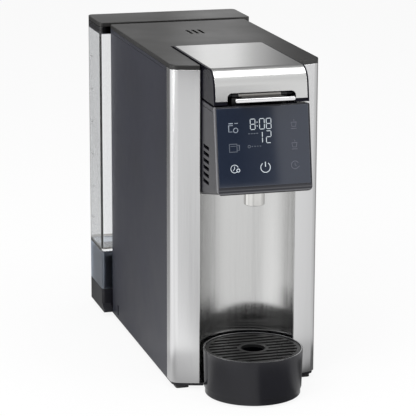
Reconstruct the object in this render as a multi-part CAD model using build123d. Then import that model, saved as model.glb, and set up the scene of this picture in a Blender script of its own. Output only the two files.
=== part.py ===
from build123d import *
import math
import os

# Slim single-serve coffee maker with a brew head at the front and a lift-off water tank at the rear.
# Millimetres. +X is the viewer's right, +Y runs back towards the tank, +Z is up from the worktop.
# Drawing zero in Y is the foremost point of the bowed front, and every piece is shifted on export
# so that the origin is the middle of the whole machine's footprint.

# Clearances
SEAM = 0.3
SKIN_GAP = 0.1
RUN_CLEARANCE = 0.05
SLIDE_GAP = 0.5

# Cutting and joining overlap, and the least corner radius that is drawn
OVERLAP = 1.0
LEAST_ROUND = 0.5
TOUCH = 0.01

# Body outline in plan
BODY_WIDTH = 146.0
BODY_REAR_Y = 261.6
FRONT_BOW_RADIUS = 186.0
FRONT_CORNER_RADIUS = 9.2
REAR_CORNER_RADIUS = 3.0
BODY_HALF = BODY_WIDTH / 2

# Body levels and walls
PLATE_BOTTOM_Z = 3.6
PLATE_THICKNESS = 2.6
PLATE_TOP_Z = PLATE_BOTTOM_Z + PLATE_THICKNESS
PLATE_INSET = 1.5
PANEL_BOTTOM_Z = PLATE_TOP_Z + SEAM
COVER_TOP_Z = 317.5
COVER_EDGE = 4.3
COVER_WALL = 2.2
COVER_CHAMFER = 0.5
COVER_REVEAL = 1.0
COVER_BOTTOM_Z = COVER_TOP_Z - COVER_EDGE
PANEL_TOP_Z = COVER_BOTTOM_Z - SEAM
SIDE_WALL = 2.5
STEEL = 0.8
FRAME_WALL = 2.5
STEEL_WRAP_Y = 31.6
SIDE_RETURN = 7.0
PANEL_LINE_Z = 309.3
PANEL_LINE_HEIGHT = 0.6
PANEL_LINE_DEPTH = 0.5

# Vent slots in the cover and the moulded slit low on each side panel
COVER_SLOT_COUNT = 3
COVER_SLOT_PITCH = 6.2
COVER_SLOT_WIDTH = 3.0
COVER_SLOT_LENGTH = 24.0
COVER_SLOT_Y = 194.2
SLIT_Y = 234.8
SLIT_WIDTH = 4.2
SLIT_BOTTOM_Z = 9.6
SLIT_HEIGHT = 11.0

# Drip tray and grille, round about a vertical axis
TRAY_Y = -14.3
TRAY_RADIUS = 47.85
TRAY_TOP_Z = 45.3
TRAY_TAPER = 0.9
TRAY_BOTTOM_Z = 1.8
TRAY_RING_HEIGHT = 6.2
TRAY_RING_INSET = 1.0
TRAY_RIM_WALL = 1.65
TRAY_LEDGE = 1.6
TRAY_FLOOR = 2.2
TRAY_FLOOR_Z = PLATE_TOP_Z + SEAM
TRAY_SKIRT_WALL = 2.2
GRILLE_THICKNESS = 3.0
GRILLE_RECESS = 0.7
GRILLE_SLOT_COUNT = 10
GRILLE_SLOT_PITCH = 8.3
GRILLE_SLOT_WIDTH = 4.2
GRILLE_RIM = 3.6
GRILLE_HOLE_RADIUS = 11.5
GRILLE_PAD = 3.5
TONGUE_HALF = 30.0
TONGUE_REACH = 28.0
TONGUE_ROOT = 10.0

# Niche behind the cup
NICHE_GAP = 3.75
NICHE_RADIUS = TRAY_RADIUS + NICHE_GAP
PILASTER_INNER_X = 47.4
NICHE_TOP_Z = 212.0

# Brew head
HEAD_HALF = 45.8
HEAD_BOTTOM_Z = 204.7
HEAD_WALL = 2.3
HEAD_SKIRT_LEAN = 12.5
FACE_LEAN = 9.4
FACE_TOP_Y = -36.5
FACE_TOP_Z = 285.6
BEZEL_DEPTH = 4.0
BEZEL_SIDE_RIM = 1.2
BEZEL_TOP_RIM = 0.8
BEZEL_LIP_HEIGHT = 7.3
BEZEL_LIP_ROUND = 2.4
GLASS_THICKNESS = 2.0
HEAD_LOWER_ROUND = 5.0
HEAD_UPPER_ROUND = 1.5
DISPLAY_WINDOW_HALF = 38.0
DISPLAY_WINDOW_BOTTOM_Z = 220.0
DISPLAY_WINDOW_TOP_Z = 276.0
BOARD_THICKNESS = 1.6
DISPLAY_BOARD_MARGIN = 3.0
HEAD_BACK_Y = 45.0
DECK_THICKNESS = 2.2
DECK_TOP_Z = FACE_TOP_Z - 1.0
SEAM_GROOVE_Z = 280.0
SEAM_GROOVE_DEPTH = 0.5
SEAM_GROOVE_HEIGHT = 0.8
VENT_COUNT = 6
VENT_PITCH = 6.6
VENT_HEIGHT = 3.5
VENT_LOWEST_Z = 209.9
VENT_FRONT_Y = -19.0
VENT_LENGTH = 19.0

# Bay behind the head that the lid sinks into
LID_SIDE_GAP = 0.6
BAY_WALL = 2.2
BAY_FRONT_Y = 10.2
BAY_BOTTOM_Z = 262.0
BAY_REAR_Y = 115.3
BAY_CORNER_ROUND = 2.0
BAY_TOP_Z = COVER_TOP_Z - COVER_WALL - SEAM

# Lid over the head
LID_HALF = 45.9
LID_TOP_Z = 318.7
LID_REAR_Y = 112.3
LID_BOTTOM_Z = 287.0
LID_FRONT_ROUND = 17.0
LID_REAR_ROUND = 4.0
LID_CORNER_ROUND = 2.5
LID_WALL = 2.2
LID_RIM_STEP = 0.3
LID_SKIN_HALF = 44.2
LID_SKIN_BOTTOM_Z = 290.4
LID_SKIN_REAR_Y = LID_REAR_Y - LID_REAR_ROUND
LINER_THICKNESS = 2.0
HINGE_Y = 107.0
HINGE_Z = 311.5
HINGE_PIN_RADIUS = 2.0
HINGE_KNUCKLE_RADIUS = 4.2
HINGE_KNUCKLE_LENGTH = 8.0

# Pocket, pull handle and latch in the lid's front
POCKET_HALF = 33.0
POCKET_TOP_Z = 297.6
POCKET_ROUND = 4.5
POCKET_BACK_Y = -22.0
POCKET_WALL = 2.0
HANDLE_BAR_HALF = 28.75
HANDLE_BAR_FRONT_Y = -48.2
HANDLE_BAR_DEPTH = 4.0
HANDLE_BAR_BOTTOM_Z = 290.9
HANDLE_BAR_HEIGHT = 3.6
HANDLE_END_SHARE = 0.48
HANDLE_EDGE_SHARE = 0.25
HANDLE_NECK_HALF = 19.7
HANDLE_NECK_BOTTOM_Z = 291.6
HANDLE_NECK_THICKNESS = 2.2
LATCH_Y = -26.0
LATCH_Z = 294.2
LATCH_PIN_RADIUS = 1.5
LATCH_BARREL_RADIUS = 2.7
HOOK_X = 24.5
HOOK_HALF = 2.0
HOOK_THICKNESS = 2.0
HOOK_DROP = 14.6
HOOK_NOSE = 1.6
HOOK_NOSE_HEIGHT = 2.4
HOOK_WINDOW_MARGIN = 2.5
HOOK_SWING = 3.5
LATCH_SPRING_WIRE = 0.35
LATCH_SPRING_TURNS = 4
LATCH_SPRING_PITCH = 1.0

# Pod holder, brew chamber, needles, funnel and nozzle
POD_Y = 4.0
POD_INNER_RADIUS = 23.4
POD_WALL = 2.2
POD_FLANGE_RADIUS = 30.4
POD_FLANGE_THICKNESS = 2.6
POD_SEAT_Z = 279.6
POD_DEPTH = 46.0
POD_RIM_STEP = 1.5
POD_RIM_RADIUS = 26.2
CHAMBER_RADIUS = 33.0
CHAMBER_BORE_GAP = 1.0
CHAMBER_FLOOR = 2.2
CHAMBER_FLANGE_RADIUS = 35.0
CHAMBER_OUTLET_RADIUS = 15.0
UPPER_NEEDLE_RADIUS = 2.4
UPPER_NEEDLE_REACH = 19.0
NEEDLE_BORE_RADIUS = 1.0
NEEDLE_TIP = 5.0
NEEDLE_TIP_WALL = 0.3
NEEDLE_FOOT_LIP = 1.5
NEEDLE_FOOT_HEIGHT = 1.5
NEEDLE_FLANGE_RADIUS = 6.0
NEEDLE_FLANGE_THICKNESS = 1.7
NEEDLE_SEAL_RADIUS = 9.0
NEEDLE_SEAL_THICKNESS = 3.2
LOWER_NEEDLE_RADIUS = 2.4
LOWER_NEEDLE_OFFSET = 15.0
LOWER_NEEDLE_HEIGHT = 9.0
POD_OUTLET_RADIUS = 5.0
FUNNEL_TOP_RADIUS = 18.0
FUNNEL_WALL = 1.6
NOZZLE_RADIUS = 10.0
NOZZLE_BORE_RADIUS = 6.0
NOZZLE_BOTTOM_Z = 186.5
NOZZLE_EDGE = 1.0
NOZZLE_FLANGE_RADIUS = 12.5
NOZZLE_FLANGE_THICKNESS = 2.0
FUNNEL_SPIGOT_LENGTH = 8.0
LID_TUBE_RADIUS = 3.0
LID_TUBE_REAR_Y = 100.0

# Water tank
TANK_HALF = 81.65
TANK_FRONT_Y = 271.3
TANK_DEPTH = 58.7
TANK_REAR_Y = TANK_FRONT_Y + TANK_DEPTH
TANK_FRONT_ROUND = 3.0
TANK_REAR_ROUND = 6.0
TANK_WALL = 2.5
TANK_FLOOR_Z = 73.0
TANK_LID_TOP_Z = 318.0
TANK_LID_EDGE = 4.3
TANK_LID_SKIRT_DEPTH = 7.5
TANK_LID_SKIRT_WALL = 2.0
TANK_LID_PLATE = 2.0
TANK_SEAL_RADIUS = 0.9
TANK_RIM_Z = TANK_LID_TOP_Z - TANK_LID_EDGE - SEAM

# Pedestal under the tank
PEDESTAL_BOTTOM_Z = 5.4
PEDESTAL_SHOULDER_Z = 29.0
PEDESTAL_WALL = 2.5
PEDESTAL_TOE_REACH = 8.8
PEDESTAL_TOE_HEIGHT = 7.6
PEDESTAL_TOE_LIP = 1.6
RISER_GAP = 2.0
RISER_TOP_Z = 65.0
TANK_BOTTOM_Z = PEDESTAL_SHOULDER_Z + SEAM

# Tank valve and the dock that opens it
VALVE_RADIUS = 12.0
VALVE_BORE_RADIUS = 8.5
VALVE_FLANGE_RADIUS = 15.0
VALVE_FLANGE_THICKNESS = 2.0
VALVE_BOTTOM_Z = 50.0
VALVE_SEAT = 3.0
VALVE_SEAT_RADIUS = 5.0
POPPET_RADIUS = 7.5
POPPET_THICKNESS = 3.0
POPPET_STEM_RADIUS = 3.0
POPPET_STEM_DROP = 3.0
POPPET_GUIDE_RADIUS = 2.0
POPPET_GUIDE_HEIGHT = 9.0
VALVE_BRIDGE_Z = 70.5
VALVE_BRIDGE_HALF = 1.5
VALVE_SPRING_RADIUS = 4.2
VALVE_SPRING_WIRE = 0.4
VALVE_SPRING_TURNS = 6
DOCK_WALL = 2.4
DOCK_GAP = 1.6
DOCK_BOTTOM_Z = 40.0
DOCK_FLOOR = 2.5
DOCK_FLANGE = 3.0
DOCK_FLANGE_THICKNESS = 2.0
DOCK_PIN_RADIUS = 1.8
DOCK_OUTLET_RADIUS = 3.0
DOCK_SEAL_Z = 58.0
DOCK_SEAL_HEIGHT = 3.0
FILTER_RADIUS = 10.0
FILTER_HEIGHT = 20.0
FILTER_WALL = 1.0
FILTER_SLOT_COUNT = 8
FILTER_SLOT_WIDTH = 2.0
FILTER_BAND = 3.0

# Rear panel
REAR_PLATE = 2.5
BULGE_HALF = 65.4
BULGE_BOTTOM_Z = 12.0
BULGE_TOP_Z = 305.0

# Water path and heater inside the body
HOSE_RADIUS = 4.0
HOSE_BORE_RADIUS = 2.4
HOSE_HOLE_GAP = 1.0
HOSE_Z = 17.0
METER_Y = 225.0
METER_RADIUS = 14.0
METER_HEIGHT = 20.0
METER_EDGE = 1.5
PUMP_X = -36.0
PUMP_RADIUS = 22.0
PUMP_FRONT_Y = 150.0
PUMP_LENGTH = 60.0
PUMP_MOUNT_HEIGHT = 10.0
PUMP_MOUNT_HALF = 14.0
PUMP_MOUNT_INSET = 7.5
PUMP_CRADLE_LIFT = 3.7
PUMP_HOSE_BEND = 9.6
MOTOR_RADIUS = 16.0
MOTOR_LENGTH = 40.0
MOTOR_NOSE_RADIUS = 5.3
MOTOR_NOSE_LENGTH = 4.0
AIR_PUMP_LENGTH = 36.0
AIR_PUMP_WIDTH = 30.0
AIR_PUMP_HEIGHT = 44.0
AIR_PUMP_ROUND = 3.0
AIR_PUMP_PORT_RADIUS = 10.0
AIR_PUMP_PORT_HEIGHT = 8.0
AIR_PUMP_Y = 75.0
HEATER_X = 18.0
HEATER_Y = 92.0
HEATER_RADIUS = 24.0
HEATER_HEIGHT = 160.0
HEATER_DOME = 4.0
HEATER_FITTING_RADIUS = 5.5
HEATER_TOP_FITTING = 8.0
HEATER_SIDE_FITTING = 6.0
BRACKET_THICKNESS = 2.5
BRACKET_HEIGHT = 80.0
BRACKET_HALF_DEPTH = 8.0
THERMOSTAT_RADIUS = 8.0
THERMOSTAT_DEPTH = 7.0
THERMOSTAT_Z = 150.0
THERMOSTAT_TAB_HALF = 5.0
THERMOSTAT_TAB_LENGTH = 6.0
THERMOSTAT_TAB_THICKNESS = 0.8
FUSE_RADIUS = 2.5
FUSE_LENGTH = 24.0
FUSE_Z = 110.0
HEATER_HOSE_Z = 130.0
HOSE_BEND_RADIUS = 12.0

# Power board with its components and the display cable
POWER_BOARD_X = 60.0
POWER_BOARD_FRONT_Y = 130.0
POWER_BOARD_LENGTH = 100.0
POWER_BOARD_HEIGHT = 120.0
TRANSFORMER_DEPTH = 24.0
TRANSFORMER_LENGTH = 30.0
TRANSFORMER_HEIGHT = 32.0
TRANSFORMER_Y = 140.0
TRANSFORMER_Z = 26.5
RELAY_DEPTH = 16.0
RELAY_LENGTH = 18.0
RELAY_HEIGHT = 22.0
RELAY_Y = 180.0
RELAY_Z = 28.5
SINK_DEPTH = 12.0
SINK_LENGTH = 18.0
SINK_HEIGHT = 40.0
SINK_Y = 204.0
SINK_Z = 36.5
CAPACITOR_COUNT = 3
CAPACITOR_RADIUS = 5.0
CAPACITOR_DEPTH = 18.0
CAPACITOR_PITCH = 14.0
CAPACITOR_Y = 146.0
CAPACITOR_Z = 80.5
CABLE_RADIUS = 2.6
CABLE_BEND = 10.8
CABLE_TOP_Z = 240.0
CABLE_X = 36.0

# Fasteners, feet and gland
SCREW_SHANK_RADIUS = 1.6
SCREW_HEAD_RADIUS = 3.2
SCREW_HEAD_HEIGHT = 1.4
SCREW_LENGTH = 12.0
SCREW_SLOT_WIDTH = 0.8
SCREW_SLOT_DEPTH = 0.6
BOSS_RADIUS = 6.5
BOSS_HEIGHT = 14.0
FRONT_SCREW_X = 63.5
FRONT_SCREW_Y = 24.0
REAR_SCREW_X = 52.0
REAR_SCREW_INSET = 8.5
FOOT_HALF = 6.5
FOOT_CORNER = 2.5
FOOT_X = 61.5
FRONT_FOOT_Y = 22.0
REAR_FOOT_Y = 238.0
TANK_FOOT_X = 66.0
TANK_FOOT_Y = 309.0
GLAND_RADIUS = 7.0
GLAND_BORE_RADIUS = 3.6
GLAND_LIP = 2.0
GLAND_PROUD = 0.2
GLAND_Y = 246.0
GLAND_Z = 26.0

# Footprint limits, which set the origin
FOOTPRINT_FRONT_Y = TRAY_Y - TRAY_RADIUS
ORIGIN_Y = (FOOTPRINT_FRONT_Y + TANK_REAR_Y) / 2

LEAN_TAN = math.tan(math.radians(FACE_LEAN))
LEAN_COS = math.cos(math.radians(FACE_LEAN))
FAR = 400.0


# Plain helpers


def keep(name, shape):
    """Shift a piece to the shared origin and write it as one node."""
    export_step(Pos(0, -ORIGIN_Y, 0) * shape, f"parts/{name}.step")


def block(x0, x1, y0, y1, z0, z1):
    """Box between two opposite corners."""
    return Pos((x0 + x1) / 2, (y0 + y1) / 2, (z0 + z1) / 2) * Box(x1 - x0, y1 - y0, z1 - z0)


def wide_block(half, y0, y1, z0, z1):
    """Box that is centred on X."""
    return block(-half, half, y0, y1, z0, z1)


def disc(x, y, z0, z1, radius):
    """Upright cylinder."""
    return Pos(x, y, (z0 + z1) / 2) * Cylinder(radius, z1 - z0)


def tube(x, y, z0, z1, outer, inner):
    """Upright tube."""
    return disc(x, y, z0, z1, outer) - disc(x, y, z0 - OVERLAP, z1 + OVERLAP, inner)


def rod_x(x0, x1, y, z, radius):
    """Cylinder along X."""
    return Pos((x0 + x1) / 2, y, z) * Rot(0, 90, 0) * Cylinder(radius, x1 - x0)


def rod_y(x, y0, y1, z, radius):
    """Cylinder along Y."""
    return Pos(x, (y0 + y1) / 2, z) * Rot(90, 0, 0) * Cylinder(radius, y1 - y0)


def raise_face(face, z0, z1):
    """Prism over a plan face."""
    return extrude(Pos(0, 0, z0) * face, amount=z1 - z0, dir=(0, 0, 1))


def side_prism(points, half):
    """Prism along X from a side-view outline of (y, z) points."""
    return extrude(Plane.YZ * Polygon(*points, align=None), amount=half, both=True)


def front_prism(face, y0, y1):
    """Prism along Y from a face drawn in front view as (x, z)."""
    return extrude(Plane(origin=(0, y0, 0), x_dir=(1, 0, 0), z_dir=(0, -1, 0)) * face, amount=y1 - y0,
                   dir=(0, 1, 0))


def mirrored(shape):
    """A solid together with its mirror image in X, as one group."""
    return Compound([shape, mirror(shape, about=Plane.YZ)])


def solids_of(*shapes):
    """Group of separate solids."""
    return Compound([solid for shape in shapes for solid in shape.solids()])


def coil(radius, wire, pitch, turns):
    """Coil about Z from z = 0, made of tilted half circles that meet tangent to each other."""
    rise = pitch / 2
    bow = math.hypot(radius, rise / 2)
    arcs = []
    for index in range(2 * turns):
        side = 1 if index % 2 == 0 else -1
        start = (side * radius, 0, index * rise)
        middle = (0, side * bow, (index + 0.5) * rise)
        end = (-side * radius, 0, (index + 1) * rise)
        arcs.append(ThreePointArc(start, middle, end))
    path = Wire(arcs)
    section = Plane(origin=path @ 0, z_dir=path % 0) * Circle(wire)
    return sweep(section, path=path)


def hose(points, outer, inner, bend):
    """Bent tube along a route of straight runs joined by tangent arcs."""
    path = FilletPolyline(*points, radius=bend) if len(points) > 2 else Line(*points)
    plane = Plane(origin=path @ 0, z_dir=path % 0)
    return sweep(plane * (Circle(outer) - Circle(inner)), path=path)


def body_outline(inset=0.0):
    """Plan face of the body, drawn in all round by the inset."""
    half = BODY_HALF - inset
    rear = BODY_REAR_Y - inset
    shoulder = FRONT_BOW_RADIUS - math.sqrt((FRONT_BOW_RADIUS - inset) ** 2 - half ** 2)
    front = ThreePointArc((-half, shoulder), (0, inset), (half, shoulder))
    sides = Polyline((half, shoulder), (half, rear), (-half, rear), (-half, shoulder))
    face = make_face([front, sides])
    front_corners = [v for v in face.vertices() if v.Y < STEEL_WRAP_Y]
    face = fillet(front_corners, max(FRONT_CORNER_RADIUS - inset, LEAST_ROUND))
    rear_corners = [v for v in face.vertices() if v.Y > rear - TOUCH]
    return fillet(rear_corners, max(REAR_CORNER_RADIUS - inset, LEAST_ROUND))


def tank_outline(inset=0.0):
    """Plan face of the tank, drawn in all round by the inset."""
    half = TANK_HALF - inset
    centre_y = (TANK_FRONT_Y + TANK_REAR_Y) / 2
    face = Pos(0, centre_y) * Rectangle(2 * half, TANK_DEPTH - 2 * inset)
    front_corners = [v for v in face.vertices() if v.Y < centre_y]
    face = fillet(front_corners, max(TANK_FRONT_ROUND - inset, LEAST_ROUND))
    rear_corners = [v for v in face.vertices() if v.Y > TANK_REAR_Y - inset - TOUCH]
    return fillet(rear_corners, max(TANK_REAR_ROUND - inset, LEAST_ROUND))


def face_y(z, inset=0.0):
    """Y of the head's leaning face at a height, moved in along its normal by the inset."""
    return FACE_TOP_Y - (FACE_TOP_Z - z) * LEAN_TAN + inset / LEAN_COS


def lean_slab(inset_front, inset_back, z0, z1, half):
    """Slab parallel to the leaning face, between two depths behind it."""
    points = [(face_y(z0, inset_front), z0), (face_y(z1, inset_front), z1),
              (face_y(z1, inset_back), z1), (face_y(z0, inset_back), z0)]
    return side_prism(points, half)


def head_front_view(inset=0.0):
    """Rounded front view of the head, as an (x, z) face."""
    half = HEAD_HALF - inset
    z0 = HEAD_BOTTOM_Z + inset
    z1 = FACE_TOP_Z
    face = Pos(0, (z0 + z1) / 2) * Rectangle(2 * half, z1 - z0)
    face = fillet([v for v in face.vertices() if v.Y < z0 + TOUCH], HEAD_LOWER_ROUND)
    return fillet([v for v in face.vertices() if v.Y > z1 - TOUCH], HEAD_UPPER_ROUND)


def lid_profile(inset, bottom_z):
    """Side view of the lid as a prism section, drawn in by the inset."""
    top = LID_TOP_Z - inset
    rear = LID_REAR_Y - inset
    corner = (face_y(top, inset), top)
    face = Polygon((face_y(bottom_z, inset), bottom_z), corner, (rear, top), (rear, bottom_z), align=None)
    front = [v for v in face.vertices() if v.X < 0 and v.Y > top - TOUCH]
    face = fillet(front, LID_FRONT_ROUND - inset)
    back = [v for v in face.vertices() if v.X > rear - TOUCH and v.Y > top - TOUCH]
    return fillet(back, max(LID_REAR_ROUND - inset, LEAST_ROUND))


def lid_plan(half, rear_y, rounding):
    """Tall block over the lid's plan, with its rear corners rounded."""
    plan = wide_block(half, -FAR, rear_y, 0, FAR)
    return fillet([e for e in plan.edges().filter_by(Axis.Z) if e.center().Y > 0], rounding)


def lid_prism(inset, bottom_z, half):
    """Solid of the lid's side view between two X limits."""
    return extrude(Plane.YZ * lid_profile(inset, bottom_z), amount=half, both=True)


def pocket_prism(y0, y1, grow=0.0):
    """Rounded opening in the lid's front for the handle, open downwards."""
    height = POCKET_TOP_Z + grow
    face = Pos(0, height / 2) * Rectangle(2 * (POCKET_HALF + grow), height)
    face = fillet([v for v in face.vertices() if v.Y > height / 2], POCKET_ROUND + grow)
    return front_prism(face, y0, y1)


# Base and body shells


def screw_places():
    """Plan positions of the case screws."""
    pairs = ((FRONT_SCREW_X, FRONT_SCREW_Y), (REAR_SCREW_X, BODY_REAR_Y - REAR_SCREW_INSET))
    return [(side * x, y) for side in (-1, 1) for x, y in pairs]


def foot_places():
    """Plan positions of the rubber feet."""
    rows = ((FOOT_X, FRONT_FOOT_Y), (FOOT_X, REAR_FOOT_Y), (TANK_FOOT_X, TANK_FOOT_Y))
    return [(side * x, y) for side in (-1, 1) for x, y in rows]


def neck_half():
    """Half width of the neck that joins the plate to its tail."""
    return BODY_HALF - PLATE_INSET


def base_plate():
    """Bottom plate with a tongue under the tray and a tail under the tank pedestal."""
    plate = raise_face(body_outline(PLATE_INSET), PLATE_BOTTOM_Z, PLATE_TOP_Z)
    plate -= disc(0, TRAY_Y, 0, FAR, TRAY_RADIUS + SLIDE_GAP)
    tongue_rear = TRAY_Y + TRAY_RADIUS + TONGUE_ROOT
    tongue = wide_block(TONGUE_HALF, TRAY_Y - TONGUE_REACH, tongue_rear, PLATE_BOTTOM_Z, PLATE_TOP_Z)
    tail_half = TANK_HALF - PEDESTAL_WALL - SLIDE_GAP
    tail_rear = TANK_REAR_Y - PEDESTAL_WALL - SLIDE_GAP
    tail = wide_block(tail_half, TANK_FRONT_Y + PEDESTAL_WALL / 2, tail_rear, PLATE_BOTTOM_Z, PLATE_TOP_Z)
    rear_corners = [e for e in tail.edges().filter_by(Axis.Z) if e.center().Y > TANK_FOOT_Y]
    tail = fillet(rear_corners, TANK_REAR_ROUND - PEDESTAL_WALL)
    neck = wide_block(neck_half(), BODY_REAR_Y - BOSS_RADIUS, TANK_FRONT_Y + PEDESTAL_WALL,
                      PLATE_BOTTOM_Z, PLATE_TOP_Z)
    plate = plate + tongue + tail + neck
    for x, y in screw_places():
        plate -= disc(x, y, 0, PLATE_TOP_Z + OVERLAP, SCREW_SHANK_RADIUS + RUN_CLEARANCE * 2)
        plate -= disc(x, y, 0, PLATE_BOTTOM_Z + SCREW_HEAD_HEIGHT, SCREW_HEAD_RADIUS + SEAM)
    return plate


def case_screws():
    """Slotted case screws, driven up from below."""
    screws = []
    for x, y in screw_places():
        top = PLATE_BOTTOM_Z + SCREW_HEAD_HEIGHT
        head = disc(x, y, PLATE_BOTTOM_Z + RUN_CLEARANCE, top - RUN_CLEARANCE, SCREW_HEAD_RADIUS)
        shank_top = PLATE_BOTTOM_Z + SCREW_LENGTH
        shank = disc(x, y, PLATE_BOTTOM_Z + RUN_CLEARANCE, shank_top, SCREW_SHANK_RADIUS)
        slot = block(x - SCREW_HEAD_RADIUS, x + SCREW_HEAD_RADIUS, y - SCREW_SLOT_WIDTH / 2,
                     y + SCREW_SLOT_WIDTH / 2, 0, PLATE_BOTTOM_Z + SCREW_SLOT_DEPTH)
        screws.append(head + shank - slot)
    return solids_of(*screws)


def rubber_feet():
    """Six rounded pads that the machine stands on."""
    feet = []
    for x, y in foot_places():
        pad = block(x - FOOT_HALF, x + FOOT_HALF, y - FOOT_HALF, y + FOOT_HALF, 0, PLATE_BOTTOM_Z)
        feet.append(fillet(pad.edges().filter_by(Axis.Z), FOOT_CORNER))
    return solids_of(*feet)


def screw_boss(x, y):
    """Boss that a case screw bites into."""
    boss = disc(x, y, PANEL_BOTTOM_Z, PANEL_BOTTOM_Z + BOSS_HEIGHT, BOSS_RADIUS)
    return boss - disc(x, y, 0, PLATE_BOTTOM_Z + SCREW_LENGTH + OVERLAP, SCREW_SHANK_RADIUS + RUN_CLEARANCE)


def side_panel():
    """Left panel, from the steel pilaster to a short return round the rear corner."""
    shell = raise_face(body_outline() - body_outline(SIDE_WALL), PANEL_BOTTOM_Z, PANEL_TOP_Z)
    line = body_outline() - body_outline(PANEL_LINE_DEPTH)
    shell -= raise_face(line, PANEL_LINE_Z, PANEL_LINE_Z + PANEL_LINE_HEIGHT)
    panel = shell & block(-FAR, -(BODY_HALF - SIDE_RETURN), STEEL_WRAP_Y + SEAM, FAR, 0, FAR)
    slit = block(-FAR, -(BODY_HALF - SIDE_RETURN), SLIT_Y - SLIT_WIDTH / 2, SLIT_Y + SLIT_WIDTH / 2,
                 SLIT_BOTTOM_Z, SLIT_BOTTOM_Z + SLIT_HEIGHT)
    return panel - slit


def right_side_panel():
    """Mirror of the left panel with the hole for the cord gland."""
    panel = mirror(side_panel(), about=Plane.YZ)
    return panel - rod_x(0, FAR, GLAND_Y, GLAND_Z, GLAND_RADIUS + RUN_CLEARANCE)


def cord_gland():
    """Bush in the right panel, low at the rear, that a cord would pass through."""
    inner_x = BODY_HALF - SIDE_WALL
    bush = rod_x(inner_x - GLAND_LIP, BODY_HALF + GLAND_PROUD, GLAND_Y, GLAND_Z, GLAND_RADIUS)
    flange = rod_x(inner_x - GLAND_LIP, inner_x - RUN_CLEARANCE, GLAND_Y, GLAND_Z, GLAND_RADIUS + GLAND_LIP)
    return bush + flange - rod_x(0, FAR, GLAND_Y, GLAND_Z, GLAND_BORE_RADIUS)


def pilaster_skin():
    """Left steel pilaster, wrapped round the front corner."""
    shell = raise_face(body_outline() - body_outline(STEEL), PANEL_BOTTOM_Z, PANEL_TOP_Z)
    return shell & block(-FAR, -PILASTER_INNER_X, -FAR, STEEL_WRAP_Y, 0, FAR)


def niche_panel():
    """Concave steel panel behind the cup."""
    ring = tube(0, TRAY_Y, PANEL_BOTTOM_Z, NICHE_TOP_Z, NICHE_RADIUS + STEEL, NICHE_RADIUS)
    inside = raise_face(body_outline(STEEL + SKIN_GAP), 0, FAR)
    return ring & inside


def front_frame():
    """Moulded frame that backs the steel skins and carries the head."""
    inset = STEEL + SKIN_GAP
    outer = body_outline(inset)
    reach = NICHE_RADIUS + TRAY_Y + inset + FRAME_WALL + SEAM
    wall = raise_face(outer - body_outline(inset + FRAME_WALL), PANEL_BOTTOM_Z, PANEL_TOP_Z)
    wall &= wide_block(FAR, -FAR, STEEL_WRAP_Y, 0, FAR)
    backing = disc(0, TRAY_Y, PANEL_BOTTOM_Z, NICHE_TOP_Z, NICHE_RADIUS + inset + FRAME_WALL)
    backing &= raise_face(outer, 0, FAR) & wide_block(FAR, -FAR, reach, 0, FAR)
    frame = wall + backing - disc(0, TRAY_Y, 0, NICHE_TOP_Z + OVERLAP, NICHE_RADIUS + inset)
    frame -= wide_block(HEAD_HALF + LID_SIDE_GAP, -FAR, FAR, NICHE_TOP_Z, FAR)
    for side in (-1, 1):
        frame += screw_boss(side * FRONT_SCREW_X, FRONT_SCREW_Y) & raise_face(outer, 0, FAR)
    return frame


def rear_panel():
    """Back of the body, with a shallow bulge towards the tank."""
    inner_y = BODY_REAR_Y - REAR_PLATE
    half = BODY_HALF - SIDE_RETURN - SEAM
    panel = wide_block(half, inner_y, BODY_REAR_Y, PANEL_BOTTOM_Z, PANEL_TOP_Z)
    panel += wide_block(BULGE_HALF, inner_y, TANK_FRONT_Y - SLIDE_GAP, BULGE_BOTTOM_Z, BULGE_TOP_Z)
    wall = REAR_PLATE
    panel -= wide_block(BULGE_HALF - wall, -FAR, TANK_FRONT_Y - SLIDE_GAP - wall, BULGE_BOTTOM_Z + wall,
                        BULGE_TOP_Z - wall)
    for side in (-1, 1):
        panel += screw_boss(side * REAR_SCREW_X, BODY_REAR_Y - REAR_SCREW_INSET)
    return panel - rod_y(0, 0, FAR, HOSE_Z, HOSE_RADIUS + HOSE_HOLE_GAP)


def top_cover():
    """Textured cover over the body, open at the front for the lid."""
    cover = raise_face(body_outline(), COVER_BOTTOM_Z, COVER_TOP_Z)
    top_edges = [e for e in cover.edges() if e.center().Z > COVER_TOP_Z - TOUCH]
    cover = chamfer(top_edges, COVER_CHAMFER)
    cover -= raise_face(body_outline(COVER_WALL), 0, COVER_TOP_Z - COVER_WALL)
    cover -= lid_plan(LID_HALF + LID_SIDE_GAP + COVER_REVEAL, BAY_REAR_Y, BAY_CORNER_ROUND)
    first = -(COVER_SLOT_COUNT - 1) / 2
    for index in range(COVER_SLOT_COUNT):
        slot = SlotOverall(COVER_SLOT_LENGTH, COVER_SLOT_WIDTH, rotation=90)
        slot = Pos((first + index) * COVER_SLOT_PITCH, COVER_SLOT_Y) * slot
        cover -= raise_face(slot, 0, FAR)
    return cover


# Drip tray


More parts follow.
